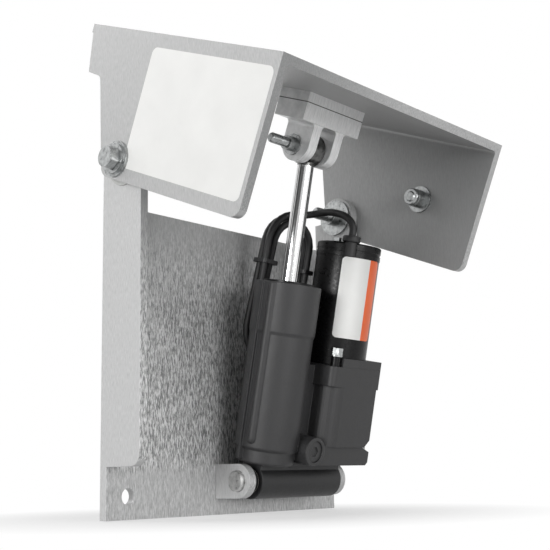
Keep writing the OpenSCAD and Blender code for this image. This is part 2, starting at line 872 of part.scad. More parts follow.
module rod_seal() {
    color("darkgoldenrod") on_ram() tube_between(seal_low + set_clear, seal_low + seal_h - set_clear,
        rod_r + seal_depth - set_clear, rod_r + run_clear);
}

module rod_wiper() {
    top = cyl_top + gland_rim;
    color("black") on_ram() tube_between(top - wiper_h + set_clear, top, rod_r + wiper_depth - set_clear,
        rod_r + run_clear);
}

module relief_plug() {
    front = foot_n + boss_proud - plug_dish;
    color("dimgray") on_ram() translate([boss_x, 0, boss_s]) rotate([90, 0, 0]) difference() {
        translate([0, 0, front - plug_depth + plug_dish + set_clear])
            cylinder(r = plug_r, h = plug_depth - plug_dish - set_clear);
        translate([0, 0, front - plug_dish]) cylinder(r = plug_r / 2, h = plug_dish + cut, $fn = 6);
    }
}

module fill_plug() {
    color("black") on_ram() translate([collar_x1, fill_y, fill_s]) rotate([0, 90, 0]) {
        translate([0, 0, -fill_r + set_clear]) cylinder(r = fill_r * 0.75, h = fill_r);
        translate([0, 0, set_clear]) cylinder(r = fill_r, h = gland_rim);
        translate([0, 0, gland_rim]) cylinder(r = fill_r * 0.7, h = gland_rim * 2, $fn = 6);
    }
}

module release_screw() {
    color("gray") on_ram() translate([foot_x1, 0, release_s]) rotate([0, 90, 0]) difference() {
        translate([0, 0, -release_r * 3 + set_clear]) cylinder(r = release_r, h = release_r * 3 - 2 * set_clear);
        box_between([-release_r - cut, -release_r / 8, -release_r / 3], [release_r + cut, release_r / 8, cut]);
    }
}

// Pump under the motor: a block with two meshing gears and its cover

module pump_block() {
    color("silver") on_motor() difference() {
        translate([0, 0, pump_floor + set_clear]) cylinder(r = pump_r, h = pump_block_top - pump_floor - set_clear);
        for (x = [0, gear_centres]) translate([x, 0, 0]) {
            translate([0, 0, pump_block_top - gear_w - gear_clear]) cylinder(r = gear_tip_r + gear_clear, h = gear_w + cut);
            translate([0, 0, pump_floor + cover_t]) cylinder(r = gear_shaft_r + run_clear, h = gear_w * 2);
        }
    }
}

module pump_cover() {
    color("lightgray") on_motor() difference() {
        translate([0, 0, pump_block_top + set_clear]) cylinder(r = pump_r, h = cover_t - 2 * set_clear);
        translate([0, 0, pump_floor]) cylinder(r = shaft_r + run_clear, h = collar_top);
    }
}

// One tooth's half angles at its root, its pitch circle and its tip
function tooth(a) = [
    for (p = [[gear_root_r, -tooth_root_half], [gear_pitch_r, -tooth_pitch_half], [gear_tip_r, -tooth_tip_half],
            [gear_tip_r, tooth_tip_half], [gear_pitch_r, tooth_pitch_half], [gear_root_r, tooth_root_half]])
        [p[0] * cos(a + p[1]), p[0] * sin(a + p[1])]];

module gear(phase) {
    z0 = pump_block_top - gear_w - gear_clear / 2;
    translate([0, 0, z0]) linear_extrude(gear_w)
        polygon([for (i = [0:gear_teeth - 1]) each tooth(phase + i * 360 / gear_teeth)]);
    translate([0, 0, pump_floor + cover_t + gear_clear])
        cylinder(r = gear_shaft_r, h = z0 - pump_floor - cover_t - gear_clear + sink);
}

module drive_gear() {
    color("goldenrod") on_motor() difference() {
        gear(0);
        translate([0, 0, pump_block_top - gear_w / 2]) cylinder(r = gear_shaft_r + set_clear, h = gear_w, $fn = 6);
    }
}

module idler_gear() {
    color("goldenrod") on_motor() translate([gear_centres, 0, 0]) gear(180 / gear_teeth);
}

// Motor

module motor_gasket() {
    color("black") on_motor() tube_between(collar_top, base_low, can_r - sink, pump_r + sink);
}

module clamp_plate() {
    color("dimgray") on_ram() difference() {
        translate([0, 0, collar_top]) linear_extrude(clamp_t) intersection() {
            collar_plan();
            translate([clamp_from, -collar_n - cut]) square([collar_w, 2 * collar_n]);
        }
        translate([motor_x, -motor_n, collar_top - cut]) cylinder(r = cap_r + set_clear, h = clamp_t + 2 * cut);
        screw_places() translate([0, 0, collar_top - cut]) cylinder(r = screw_r + bolt_clear, h = clamp_t + 2 * cut);
    }
}

module motor_base() {
    color("black") on_motor() difference() {
        union() {
            translate([0, 0, base_low]) cylinder(r = can_r, h = base_h);
            translate([0, 0, base_low]) cylinder(r = shaft_r * 2.5, h = base_h * 2);
        }
        translate([0, 0, base_low - cut]) cylinder(r = shaft_r + run_clear, h = base_h * 2 + 2 * cut);
        through_places() translate([0, 0, can_low - through_grip]) cylinder(r = through_r + set_clear, h = base_h);
    }
}

module motor_can() {
    color("black") on_motor() tube_between(can_low, can_top, can_r, can_r - can_wall);
}

module motor_magnets() {
    color("darkslategray") on_motor() for (a = [90, 270]) rotate([0, 0, through_angle + a]) intersection() {
        tube_between(magnet_low, magnet_top, magnet_r - set_clear, magnet_r - magnet_t);
        translate([0, 0, magnet_low]) linear_extrude(magnet_top - magnet_low)
            polygon([[0, 0], [can_r, can_r], [2 * can_r, 0], [can_r, -can_r]]);
    }
}

module brush_plate() {
    color("saddlebrown") on_motor() {
        difference() {
            tube_between(brush_low, brush_low + brush_t, magnet_r - set_clear, shaft_r * 2.6);
            through_places() translate([0, 0, brush_low - cut])
                cylinder(r = through_r + bolt_clear / 2, h = brush_t + 2 * cut);
        }
        for (a = [90, 270]) rotate([0, 0, through_angle + a])
            box_between([shaft_r * 2 + air_gap, -shaft_r / 2, brush_low - brush_t],
                [magnet_r - magnet_t, shaft_r / 2, brush_low + sink]);
    }
}

module end_cap() {
    color("black") on_motor() difference() {
        rotate_extrude() polygon(outline([[0, can_top, 0], [cap_r, can_top, 0], [cap_r, can_top + cap_len / 3, 0],
            [cap_r - 0.6, can_top + cap_len / 3, 0], [cap_r - 0.6, can_top + cap_len / 2, 0],
            [cap_r, can_top + cap_len / 2, 0], [cap_r, cap_top, 2], [0, cap_top, 0]]));
        translate([0, 0, can_top - cut]) cylinder(r = shaft_r + run_clear, h = cap_len / 2 + cut);
        translate([boot_x - motor_x, boot_y + motor_n, can_top - cut])
            cylinder(r = boot_r + set_clear, h = cap_len + 2 * cut);
        through_places() translate([0, 0, can_top - cut]) cylinder(r = through_r + set_clear, h = cap_len + 2 * cut);
    }
}

module through_places() {
    for (a = [0, 180]) rotate([0, 0, through_angle + a]) translate([through_ring, 0, 0]) children();
}

module through_bolts() {
    color("silver") on_motor() through_places() {
        translate([0, 0, can_low - through_grip + set_clear])
            cylinder(r = through_r, h = cap_top - can_low + through_grip + sink);
        translate([0, 0, cap_top + set_clear]) cylinder(r = through_r * 1.8, h = through_r * 1.4, $fn = 6);
    }
}

module motor_screws() {
    head = base_low + base_h + 1;
    color("silver") on_ram() screw_places() {
        translate([0, 0, collar_top - screw_head_h * 2 + set_clear]) cylinder(r = screw_r, h = head - collar_top + screw_head_h * 2 + sink);
        translate([0, 0, head]) cylinder(r = screw_head_af * 0.6, h = screw_head_h / 6);
        translate([0, 0, head]) cylinder(d = screw_head_af * hex_ratio, h = screw_head_h, $fn = 6);
    }
}

module screw_spacers() {
    head = base_low + base_h + 1;
    color("dimgray") on_ram() {
        translate([motor_x, -motor_n, 0]) translate([-screw_x, -screw_n, 0])
            tube_between(collar_top, head, spacer_r, screw_r + set_clear);
    }
}

// Armature: shaft, laminated core with its slots, and commutator
module armature() {
    color("peru") on_motor() {
        translate([0, 0, pump_block_top + gear_clear]) cylinder(r = shaft_r, h = can_top + cap_len / 3 - pump_block_top);
        difference() {
            translate([0, 0, magnet_low + sink]) cylinder(r = core_r, h = magnet_top - magnet_low - 2 * sink);
            for (i = [0:gear_teeth - 1]) rotate([0, 0, i * 360 / gear_teeth])
                box_between([core_r - magnet_t, -air_gap, magnet_low], [core_r + cut, air_gap, magnet_top]);
        }
        translate([0, 0, magnet_top - 2 * sink]) cylinder(r = shaft_r * 2, h = brush_low - magnet_top + brush_t);
        translate([0, 0, pump_block_top - gear_w / 2 + gear_clear])
            cylinder(r = gear_shaft_r, h = gear_w, $fn = 6);
    }
}

// Cable

module cable_boot() {
    rib_h = (boot_top - boot_cuff_h - cap_top) / (2 * boot_ribs + 1);
    color("black") on_ram() translate([boot_x, boot_y, 0]) {
        translate([0, 0, can_top + set_clear]) cylinder(r = boot_r, h = boot_top - can_top - set_clear);
        for (i = [0:boot_ribs - 1])
            translate([0, 0, cap_top + set_clear + (2 * i + 1) * rib_h]) cylinder(r = boot_rib_r, h = rib_h);
        translate([0, 0, boot_top - boot_cuff_h]) cylinder(r = boot_cuff_r, h = boot_cuff_h);
    }
}

function tangent(path, i) =
    unit(path[min(i + 1, len(path) - 1)] - path[max(i - 1, 0)]);

// A direction square to the path at each point, carried along without twisting
function sides_of(path, first) =
    [for (i = 0, t = tangent(path, 0), s = unit(first - (first * t) * t);
        i < len(path);
        i = i + 1, t = tangent(path, min(i, len(path) - 1)), s = unit(s - (s * t) * t)) s];

// Sweeps a round tube of n sides along the path
module tube_along(path, r, n, first) {
    side = sides_of(path, first);
    rings = [for (i = [0:len(path) - 1]) let (t = tangent(path, i), a = side[i], b = cross(t, a))
        for (k = [0:n - 1]) path[i] + r * (cos(360 * k / n) * a + sin(360 * k / n) * b)];
    walls = [for (i = [0:len(path) - 2]) for (k = [0:n - 1])
        let (p = i * n + k, q = i * n + (k + 1) % n)
        each [[p, q, q + n], [p, q + n, p + n]]];
    starts = [for (k = [1:n - 2]) [0, k + 1, k]];
    ends = [for (k = [1:n - 2]) [(len(path) - 1) * n, (len(path) - 1) * n + k, (len(path) - 1) * n + k + 1]];
    polyhedron(points = rings, faces = [for (f = concat(walls, starts, ends)) [f[0], f[2], f[1]]]);
}

// A smooth curve through hand-chosen points, with steps between each pair
function curve_through(points, steps) =
    [for (i = [0:len(points) - 2], k = [0:steps - 1])
        let (t = k / steps, a = points[max(i - 1, 0)], b = points[i], c = points[i + 1],
            d = points[min(i + 2, len(points) - 1)])
        ((2 * b) + (c - a) * t + (2 * a - 5 * b + 4 * c - d) * pow(t, 2)
            + (3 * b - a - 3 * c + d) * pow(t, 3)) / 2];

function smooth_step(t) = let (c = min(max(t, 0), 1)) c * c * (3 - 2 * c);

// Place on the hank after some turns: it winds in, climbs to the back layer and winds out again
function hank_place(turn) =
    let (half = hank_turns / 2,
        inset = hank_pitch * (half - abs(turn - half)),
        r = hank_r - inset,
        bend = PI * r,
        round_len = 2 * bend + 2 * hank_run,
        along = (turn - floor(turn)) * round_len,
        y = hank_pitch * (smooth_step((turn - half + 0.25) * 2) - 0.5),
        quarter = bend / 2,
        p = along < quarter ? [-r * sin(90 * along / quarter), hank_run / 2 + r * cos(90 * along / quarter)] :
            along < quarter + hank_run ? [-r, hank_run / 2 - (along - quarter)] :
            along < quarter + hank_run + bend ? let (a = 180 * (along - quarter - hank_run) / bend)
                [-r * cos(a), -hank_run / 2 - r * sin(a)] :
            along < quarter + 2 * hank_run + bend ? [r, -hank_run / 2 + (along - quarter - hank_run - bend)] :
            let (a = 90 * (along - quarter - 2 * hank_run - bend) / quarter)
                [r * cos(a), hank_run / 2 + r * sin(a)])
    [p[0], y, p[1]];

hank_path = concat([for (i = [0:hank_turns * hank_rings]) hank_place(i / hank_rings)],
    [hank_place(hank_turns) + [hank_tail, 0, 0]]);

// The least gap of the hank to itself, between points at least a third of a loop apart
hank_gap = min([for (i = [0:len(hank_path) - 1], j = [i + 8:1:len(hank_path) - 1])
    norm(hank_path[i] - hank_path[j])]) - cable_d;
echo(hank_gap = hank_gap);

module in_hank() {
    on_ram() translate([hank_x, hank_y, hank_s]) rotate([0, hank_lean, hank_turn]) children();
}

// A direction in the hank, in the ram's frame
function hank_turned(v) =
    let (x = v[0] * cos(hank_lean) + v[2] * sin(hank_lean))
    [x * cos(hank_turn) - v[1] * sin(hank_turn), x * sin(hank_turn) + v[1] * cos(hank_turn),
        v[2] * cos(hank_lean) - v[0] * sin(hank_lean)];

// The hank's first point, in the ram's frame
hank_start = [hank_x, hank_y, hank_s] + hank_turned(hank_path[0]);

// The lead's last stretch lies in line with the hank's first
lead_end = hank_start - hank_tail * hank_turned(unit(hank_path[1] - hank_path[0]));

module cable_lead() {
    path = concat(curve_through(concat(lead_route, [lead_end]), 3), [lead_end, hank_start]);
    color("black") on_ram() tube_along(path, cable_d / 2, lead_sides, [1, 0, 0]);
}

module cable_hank() {
    color("black") in_hank() tube_along(hank_path, cable_d / 2, hank_sides, [0, 1, 0]);
}

// A strap round the strands of one run, from x0 to x1
module tie(x0, x1) {
    half_y = hank_pitch / 2 + cable_d / 2 + tie_wall / 2;
    translate([0, 0, -tie_h / 2]) linear_extrude(tie_h) difference() {
        polygon(outline([[x0 - tie_wall, -half_y - tie_wall, cable_d / 2], [x1 + tie_wall, -half_y - tie_wall, cable_d / 2],
            [x1 + tie_wall, half_y + tie_wall, cable_d / 2], [x0 - tie_wall, half_y + tie_wall, cable_d / 2]]));
        polygon(outline([[x0, -half_y, cable_d / 3], [x1, -half_y, cable_d / 3],
            [x1, half_y, cable_d / 3], [x0, half_y, cable_d / 3]]));
    }
}

module cable_ties() {
    inset = hank_pitch * hank_turns / 2;
    reach = cable_d / 2 + set_clear;
    color("gray") in_hank() translate([0, 0, tie_rise]) {
        tie(-hank_r + hank_pitch / 8 - reach, -hank_r + inset + reach);
        tie(hank_r - inset - reach + hank_pitch / 8, hank_r - hank_pitch / 2 + reach);
    }
}

module cable_plug() {
    z = -hank_run / 2 - hank_r - plug_drop;
    color("black") in_hank() translate([0, hank_pitch / 2 + plug_back, z]) {
        box_between([hank_tail + set_clear, -plug_d / 2, -plug_w / 2], [plug_len, plug_d / 2, plug_w / 2]);
        box_between([plug_len - sink, -plug_d / 3, -plug_w / 3], [plug_len + plug_d / 2, plug_d / 3, plug_w / 3]);
    }
}

// Rod and piston

module piston_rod() {
    color("white") on_ram() {
        translate([0, 0, piston_top]) cylinder(r = rod_r, h = ram_len - rod_top - piston_top);
        translate([0, 0, piston_top - piston_t - piston_nut_h]) cylinder(r = piston_spigot_r, h = piston_t + piston_nut_h + sink);
    }
}

module rod_eye() {
    color("lightgray") on_ram() translate([0, 0, ram_len]) difference() {
        union() {
            across(-eye_w / 2, eye_w / 2, eye_r);
            translate([0, 0, set_clear - rod_top]) cylinder(r = rod_r, h = rod_top - eye_shank_top);
        }
        across(-eye_w / 2 - cut, eye_w / 2 + cut, eye_bore_r);
    }
}

module piston() {
    mid = piston_top - piston_t / 2;
    color("silver") on_ram() difference() {
        translate([0, 0, piston_top - piston_t]) cylinder(r = piston_r, h = piston_t - set_clear);
        translate([0, 0, piston_top - piston_t - cut]) cylinder(r = piston_spigot_r + set_clear, h = piston_t + 2 * cut);
        tube_between(mid - piston_ring_h / 2, mid + piston_ring_h / 2, bore_r + cut, piston_r - piston_ring_depth);
    }
}

module piston_ring() {
    mid = piston_top - piston_t / 2;
    color("darkgoldenrod") on_ram() tube_between(mid - piston_ring_h / 2 + set_clear, mid + piston_ring_h / 2 - set_clear,
        bore_r - set_clear, piston_r - piston_ring_depth + set_clear);
}

module piston_nut() {
    z1 = piston_top - piston_t - set_clear;
    color("silver") on_ram() difference() {
        translate([0, 0, z1 - piston_nut_h]) cylinder(d = piston_nut_af * hex_ratio, h = piston_nut_h, $fn = 6);
        translate([0, 0, z1 - piston_nut_h - cut]) cylinder(r = piston_spigot_r + set_clear, h = piston_nut_h + 2 * cut);
    }
}

transom_bracket();
pivot_ears();
lower_pin();
pin_clips();
pin_spacer();
tilt_bolts();
tilt_washers();
tilt_nuts();
motor_bracket();
tilt_bushings();
ram_clevis();
clevis_screws();
clevis_bolt();
clevis_washers();
clevis_nut();
stop_bolt();
stop_washers();
stop_nut();
ram_housing();
pin_bushings();
gland();
rod_seal();
rod_wiper();
relief_plug();
fill_plug();
release_screw();
pump_block();
pump_cover();
motor_gasket();
clamp_plate();
motor_base();
motor_can();
motor_magnets();
brush_plate();
end_cap();
motor_screws();
screw_spacers();
through_bolts();
cable_boot();
cable_lead();
cable_hank();
cable_ties();
cable_plug();
piston_rod();
rod_eye();
piston();
piston_ring();
piston_nut();
armature();
drive_gear();
idler_gear();
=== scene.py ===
"""Looks for a power trim and tilt unit: bent aluminium brackets, a cast hydraulic ram and its electric pump.

Metres, in the CAD frame: +Z up, +X across the transom, the motor's side at -Y.
"""

import json
import math

import bmesh
import bpy
from mathutils import Matrix, Vector

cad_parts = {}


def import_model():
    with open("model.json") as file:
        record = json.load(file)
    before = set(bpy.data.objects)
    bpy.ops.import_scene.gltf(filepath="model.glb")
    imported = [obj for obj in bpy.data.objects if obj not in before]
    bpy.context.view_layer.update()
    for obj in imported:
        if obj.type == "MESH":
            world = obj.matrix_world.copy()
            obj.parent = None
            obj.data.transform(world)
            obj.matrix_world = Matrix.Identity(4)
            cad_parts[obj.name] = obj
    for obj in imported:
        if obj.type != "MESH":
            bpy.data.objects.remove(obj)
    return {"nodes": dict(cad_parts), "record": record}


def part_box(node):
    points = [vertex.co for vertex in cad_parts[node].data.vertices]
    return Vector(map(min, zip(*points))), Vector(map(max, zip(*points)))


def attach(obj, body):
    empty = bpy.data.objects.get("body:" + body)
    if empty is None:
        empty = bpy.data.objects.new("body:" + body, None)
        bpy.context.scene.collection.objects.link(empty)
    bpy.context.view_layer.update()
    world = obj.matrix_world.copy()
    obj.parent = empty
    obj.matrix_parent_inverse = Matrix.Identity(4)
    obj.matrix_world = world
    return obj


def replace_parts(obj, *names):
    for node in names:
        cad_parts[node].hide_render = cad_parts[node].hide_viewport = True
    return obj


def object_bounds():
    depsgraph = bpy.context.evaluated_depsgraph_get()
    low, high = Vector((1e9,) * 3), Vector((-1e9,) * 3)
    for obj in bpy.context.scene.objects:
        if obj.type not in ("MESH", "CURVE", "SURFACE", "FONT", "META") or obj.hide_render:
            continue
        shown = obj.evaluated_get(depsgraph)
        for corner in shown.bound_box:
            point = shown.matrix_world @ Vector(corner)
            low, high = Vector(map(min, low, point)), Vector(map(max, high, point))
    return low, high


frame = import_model()
cad_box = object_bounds()

MM = 0.001
NODES = frame["nodes"]
RECORD = frame["record"]
JOINTS = {j["name"]: j for j in RECORD["behaviour"]["joints"]}
MOUNTS = {m["name"]: m for m in RECORD["mounts"]}

# Places that the CAD fixes
LOWER_PIN = Vector(JOINTS["ram_swing"]["pos_m"])
RAM_AXIS = Vector(JOINTS["rod_stroke"]["axis"]).normalized()
MOTOR_AXIS = Vector(JOINTS["motor_spin"]["pos_m"])
ACROSS = Vector((1, 0, 0))
RAM_BACK = RAM_AXIS.cross(ACROSS)
PLATE_UP = Vector(MOUNTS["motor_face"]["axis"]).normalized()
PLATE_BACK = PLATE_UP.cross(ACROSS)


def turned_to(origin, x, y, z):
    """A frame at the origin with these three axes."""
    m = Matrix((x, y, z)).transposed().to_4x4()
    m.translation = origin
    return m


# The ram's frame: the lower pin, x across, y to the back, z along the rod
RAM = turned_to(LOWER_PIN, ACROSS, RAM_BACK, RAM_AXIS)


# Materials

# The part of its 0 to 1 range that a noise mostly keeps to
NOISE = (0.3, 0.7)
# A normal's part along an axis, on a face turned against that axis and on one that isn't
AGAINST = (-0.95, -0.7)
# The Mix node's two colours
MIX_A, MIX_B = 6, 7


def linear(hex_colour):
    """An sRGB hex colour as the linear RGBA that a shader takes."""
    parts = [int(hex_colour[i : i + 2], 16) / 255 for i in (1, 3, 5)]
    return [c / 12.92 if c <= 0.04045 else ((c + 0.055) / 1.055) ** 2.4 for c in parts] + [1.0]


def feed(tree, source, socket):
    """Links a socket, or the first output that a node has in use, to another socket."""
    if isinstance(source, bpy.types.Node):
        source = next(s for s in source.outputs if s.enabled)
    tree.links.new(source, socket)


def add(tree, kind, inputs=None, **settings):
    """Adds a node with its settings; each input is a value, or the socket or node that feeds it."""
    node = tree.nodes.new("ShaderNode" + kind)
    for key, value in settings.items():
        setattr(node, key, value)
    for key, value in (inputs or {}).items():
        if isinstance(value, (bpy.types.Node, bpy.types.NodeSocket)):
            feed(tree, value, node.inputs[key])
        else:
            node.inputs[key].default_value = value
    return node


def span(value, start, end, low=0, high=1):
    """What a MapRange node takes so that the value's start to end becomes low to high."""
    return {"Value": value, "From Min": start, "From Max": end, "To Min": low, "To Max": high}


def shader(name, colour, **sockets):
    """A material with one principled shader; sockets are set on it by name, with _ for a space."""
    material = bpy.data.materials.new(name)
    material.use_nodes = True
    tree = material.node_tree
    principled = tree.nodes["Principled BSDF"]
    principled.inputs["Base Color"].default_value = linear(colour)
    for key, value in sockets.items():
        principled.inputs[key.replace("_", " ")].default_value = value
    return material, tree, principled


def cells(tree, size, stretch=(1, 1, 1), detail=3, rough=0.5, turn=(0, 0, 0)):
    """A noise whose cells are about size across, times stretch on each axis of the turned CAD frame."""
    where = add(tree, "TexCoord").outputs["Object"]
    placed = {"Vector": where, "Scale": [size * s for s in stretch], "Rotation": turn}
    mapped = add(tree, "Mapping", placed, vector_type="TEXTURE")
    return add(tree, "TexNoise", {"Vector": mapped, "Scale": 1.0, "Detail": detail, "Roughness": rough})


def tint(tree, principled, factor, dark, light):
    """Feeds the base colour from dark to light by the factor."""
    shades = {"Factor": factor, MIX_A: linear(dark), MIX_B: linear(light)}
    feed(tree, add(tree, "Mix", shades, data_type="RGBA"), principled.inputs["Base Color"])


def cover(tree, principled, mask, colour):
    """Lays one colour over the base colour that is there, where the mask is 1."""
    under = principled.inputs["Base Color"].links[0].from_socket
    layers = {"Factor": mask, MIX_A: under, MIX_B: linear(colour)}
    feed(tree, add(tree, "Mix", layers, data_type="RGBA"), principled.inputs["Base Color"])


def relief(tree, principled, heights, edge=0.0):
    """Stacks bumps, each (height, depth in metres), over an edge rounded to the given radius."""
    normal = None
    if edge:
        normal = add(tree, "Bevel", {"Radius": edge}, samples=6)
    for height, depth in heights:
        inputs = {"Height": height, "Distance": depth, "Strength": 1.0}
        if normal is not None:
            inputs["Normal"] = normal
        normal = add(tree, "Bump", inputs)
    feed(tree, normal, principled.inputs["Normal"])


# Where the web's coarse grain begins above its bottom strip, and where it fades near its top
STRIP_TOP = (-0.085, -0.06)
GRAIN_TOP = (0.05, 0.14)
# Where painted shade darkens the web, upward and to the left
PAINTED_SHADE_UP = (-0.02, 0.15)
PAINTED_SHADE_LEFT = (-0.13, 0.0)
# Where the right arm is, across, and from its front to its rear
RIGHT_ARM = (0.1, 0.11)
ARM_LENGTH = (-0.24, 0.02)


def mill_aluminium(name, dark, light, rough, painted_inner_shade=1):
    """5000-series plate as it leaves the rolling mill: pale grey, a fine straight grain, a soft sheen.

    Shade is painted into the colour: darker in the web's upper left corner, and on the right arm's inner face
    toward the front.
    """
    material, tree, principled = shader(name, light, Metallic=0.25, Roughness=rough)
    # The rolling lines are under 0.1 mm apart; 0.75 mm is drawn so that they show
    lines = cells(tree, 0.75 * MM, (1, 1, 7), detail=4, rough=0.65)
    where = add(tree, "TexCoord")
    normal = add(tree, "SeparateXYZ", {0: where.outputs["Normal"]}).outputs
    spot = add(tree, "SeparateXYZ", {0: where.outputs["Object"]}).outputs

    # The grain is coarse on the web's front face
    to_front = add(tree, "MapRange", span(normal["Y"], *AGAINST, 1, 0))
    below_top = add(tree, "MapRange", span(spot["Z"], *GRAIN_TOP, 1, 0.08))
    above_strip = add(tree, "MapRange", span(spot["Z"], *STRIP_TOP, 0.15, 1))
    upper = add(tree, "Math", {0: to_front, 1: below_top}, operation="MULTIPLY")
    coarse = add(tree, "Math", {0: upper, 1: above_strip}, operation="MULTIPLY")
    contrast = add(tree, "MapRange", span(coarse, 0, 1, 0.7, 8))
    level = add(tree, "Math", {0: lines, 1: 0.5}, operation="SUBTRACT")
    grain = add(tree, "Math", {0: level, 1: contrast, 2: 0.5}, operation="MULTIPLY_ADD", use_clamp=True)

    # Painted shade on the right arm's inner face, darker toward the front
    to_left = add(tree, "MapRange", span(normal["X"], *AGAINST, 1, 0))
    on_right = add(tree, "MapRange", span(spot["X"], *RIGHT_ARM))
    inner_face = add(tree, "Math", {0: to_left, 1: on_right}, operation="MULTIPLY")
    along = add(tree, "MapRange", span(spot["Y"], *ARM_LENGTH, painted_inner_shade, 1))
    arm_painted_shade = add(tree, "Mix", {"Factor": inner_face, 2: 1.0, 3: along}, data_type="FLOAT")

    # Painted shade in the web's upper left corner
    high = add(tree, "MapRange", span(spot["Z"], *PAINTED_SHADE_UP))
    shade_toward_left = add(tree, "MapRange", span(spot["X"], *PAINTED_SHADE_LEFT, 0.7, 0))
    web_high = add(tree, "Math", {0: to_front, 1: high}, operation="MULTIPLY")
    corner = add(tree, "Math", {0: web_high, 1: shade_toward_left}, operation="MULTIPLY")
    web_painted_shade = add(tree, "Math", {0: 1.0, 1: corner}, operation="SUBTRACT")

    # The painted shade of the arm and the web, which darkens the grain's colour
    skin = add(tree, "Math", {0: arm_painted_shade, 1: web_painted_shade}, operation="MULTIPLY")
    tint(tree, principled, add(tree, "Math", {0: grain, 1: skin}, operation="MULTIPLY"), dark, light)
    sheen = add(tree, "MapRange", span(lines, *NOISE, rough - 0.06, rough + 0.1))
    feed(tree, sheen, principled.inputs["Roughness"])
    relief(tree, principled, [(lines, 0.03 * MM)], edge=0.5 * MM)
    return material


# How far up the motor plate's normal the clevis block's seam lies, below its top, and how wide it is drawn
SEAM_DROP = 9.2 * MM
CLEVIS_SEAM = max(v.co.dot(PLATE_UP) for v in NODES["ram_clevis"].data.vertices) - SEAM_DROP
SEAM_HALF = (0.3 * MM, 0.45 * MM)


def machined_aluminium(name, dark, light):
    """Milled bar: a satin grey with the cutter's marks across it, and a dark seam under its spacer plate."""
    material, tree, principled = shader(name, light, Metallic=0.25, Roughness=0.38)
    marks = cells(tree, 0.8 * MM, (1, 12, 12))
    tint(tree, principled, add(tree, "MapRange", span(marks, *NOISE)), dark, light)
    where = add(tree, "TexCoord").outputs["Object"]
    up = add(tree, "VectorMath", {0: where, 1: PLATE_UP}, operation="DOT_PRODUCT")
    past = add(tree, "Math", {0: up, 1: CLEVIS_SEAM}, operation="SUBTRACT")
    away = add(tree, "Math", {0: past}, operation="ABSOLUTE")
    cover(tree, principled, add(tree, "MapRange", span(away, *SEAM_HALF, 1, 0)), "#1A1A1A")
    relief(tree, principled, [(marks, 0.015 * MM)], edge=0.6 * MM)
    return material


def plated_steel(name, dark, light):
    """Zinc-plated or ground steel: a bright blue-grey with darker patches where fingers have been."""
    material, tree, principled = shader(name, light, Metallic=1.0, Roughness=0.3)
    patches = cells(tree, 4 * MM, detail=4)
    tint(tree, principled, add(tree, "MapRange", span(patches, *NOISE)), dark, light)
    feed(tree, add(tree, "MapRange", span(patches, *NOISE, 0.24, 0.4)), principled.inputs["Roughness"])
    relief(tree, principled, [], edge=0.35 * MM)
    return material


def hard_chrome(name, dark, light):
    """Ground and chromed rod: a mirror of the white room, with a painted reflection in its colour, dark and
    pale stripes along the rod.
    """
    material, tree, principled = shader(name, light, Metallic=1.0, Roughness=0.14)
    lean = math.atan2(-RAM_AXIS.y, RAM_AXIS.z)
    # Painted reflection: dark and pale stripes along the rod's axis
    painted_reflection_stripes = cells(tree, 1.5 * MM, (1, 1, 600), turn=(lean, 0, 0))
    tint(tree, principled, add(tree, "MapRange", span(painted_reflection_stripes, 0.38, 0.56)), dark, light)
    return material


# The turned sleeve's edge, about the lower pin
SLEEVE_EDGE = (16.6 * MM, 16.8 * MM)


def painted_casting(name, dark, light):
    """Sand-cast aluminium under satin grey paint: a pebbled skin, a little darker in its pits.

    The turned sleeve about the lower pin has no paint, only black oil.
    """
    material, tree, principled = shader(name, light, Roughness=0.5, IOR=1.5)
    sand = cells(tree, 1.1 * MM, detail=4, rough=0.6)
    swell = cells(tree, 14 * MM, detail=2)
    tint(tree, principled, add(tree, "MapRange", span(sand, *NOISE)), dark, light)
    where = add(tree, "TexCoord").outputs["Object"]
    away = add(tree, "VectorMath", {0: where, 1: LOWER_PIN}, operation="SUBTRACT")
    upright = add(tree, "VectorMath", {0: away, 1: (0, 1, 1)}, operation="MULTIPLY")
    radius = add(tree, "VectorMath", {0: upright}, operation="LENGTH")
    cover(tree, principled, add(tree, "MapRange", span(radius, *SLEEVE_EDGE, 1, 0)), "#1B1B1C")
    feed(tree, add(tree, "MapRange", span(sand, *NOISE, 0.42, 0.6)), principled.inputs["Roughness"])
    relief(tree, principled, [(swell, 0.35 * MM), (sand, 0.1 * MM)], edge=1.3 * MM)
    return material


def black_enamel(name, dark, light, rough=0.3):
    """Baked black enamel on pressed steel: near black, with soft highlights and a trace of orange peel."""
    material, tree, principled = shader(name, light, Roughness=rough, IOR=1.3)
    peel = cells(tree, 2.2 * MM, detail=2)
    tint(tree, principled, add(tree, "MapRange", span(peel, *NOISE)), dark, light)
    sheen = add(tree, "MapRange", span(peel, *NOISE, rough - 0.05, rough + 0.1))
    feed(tree, sheen, principled.inputs["Roughness"])
    relief(tree, principled, [(peel, 0.03 * MM)], edge=0.6 * MM)
    return material


def moulded(name, dark, light, rough):
    """Moulded rubber or nylon: matt, with a fine even grain."""
    material, tree, principled = shader(name, light, Roughness=rough, IOR=1.52)
    grain = cells(tree, 0.7 * MM)
    tint(tree, principled, add(tree, "MapRange", span(grain, *NOISE)), dark, light)
    relief(tree, principled, [(grain, 0.03 * MM)], edge=0.4 * MM)
    return material


def turned_bronze(name, dark, light):
    """Leaded gear bronze: warm yellow, with turning marks."""
    material, tree, principled = shader(name, light, Metallic=1.0, Roughness=0.32)
    marks = cells(tree, 0.5 * MM, (6, 6, 1), detail=2)
    tint(tree, principled, add(tree, "MapRange", span(marks, *NOISE)), dark, light)
    relief(tree, principled, [(marks, 0.01 * MM)], edge=0.2 * MM)
    return material


def vinyl_film(name, dark, light):
    """Vinyl film: a slight gloss, and a trace of grey where it has been handled."""
    material, tree, principled = shader(name, light, Roughness=0.35, IOR=1.5)
    grey = cells(tree, 30 * MM)
    tint(tree, principled, add(tree, "MapRange", span(grey, *NOISE, 0.6, 1)), dark, light)
    relief(tree, principled, [(grey, 0.02 * MM)])
    return material


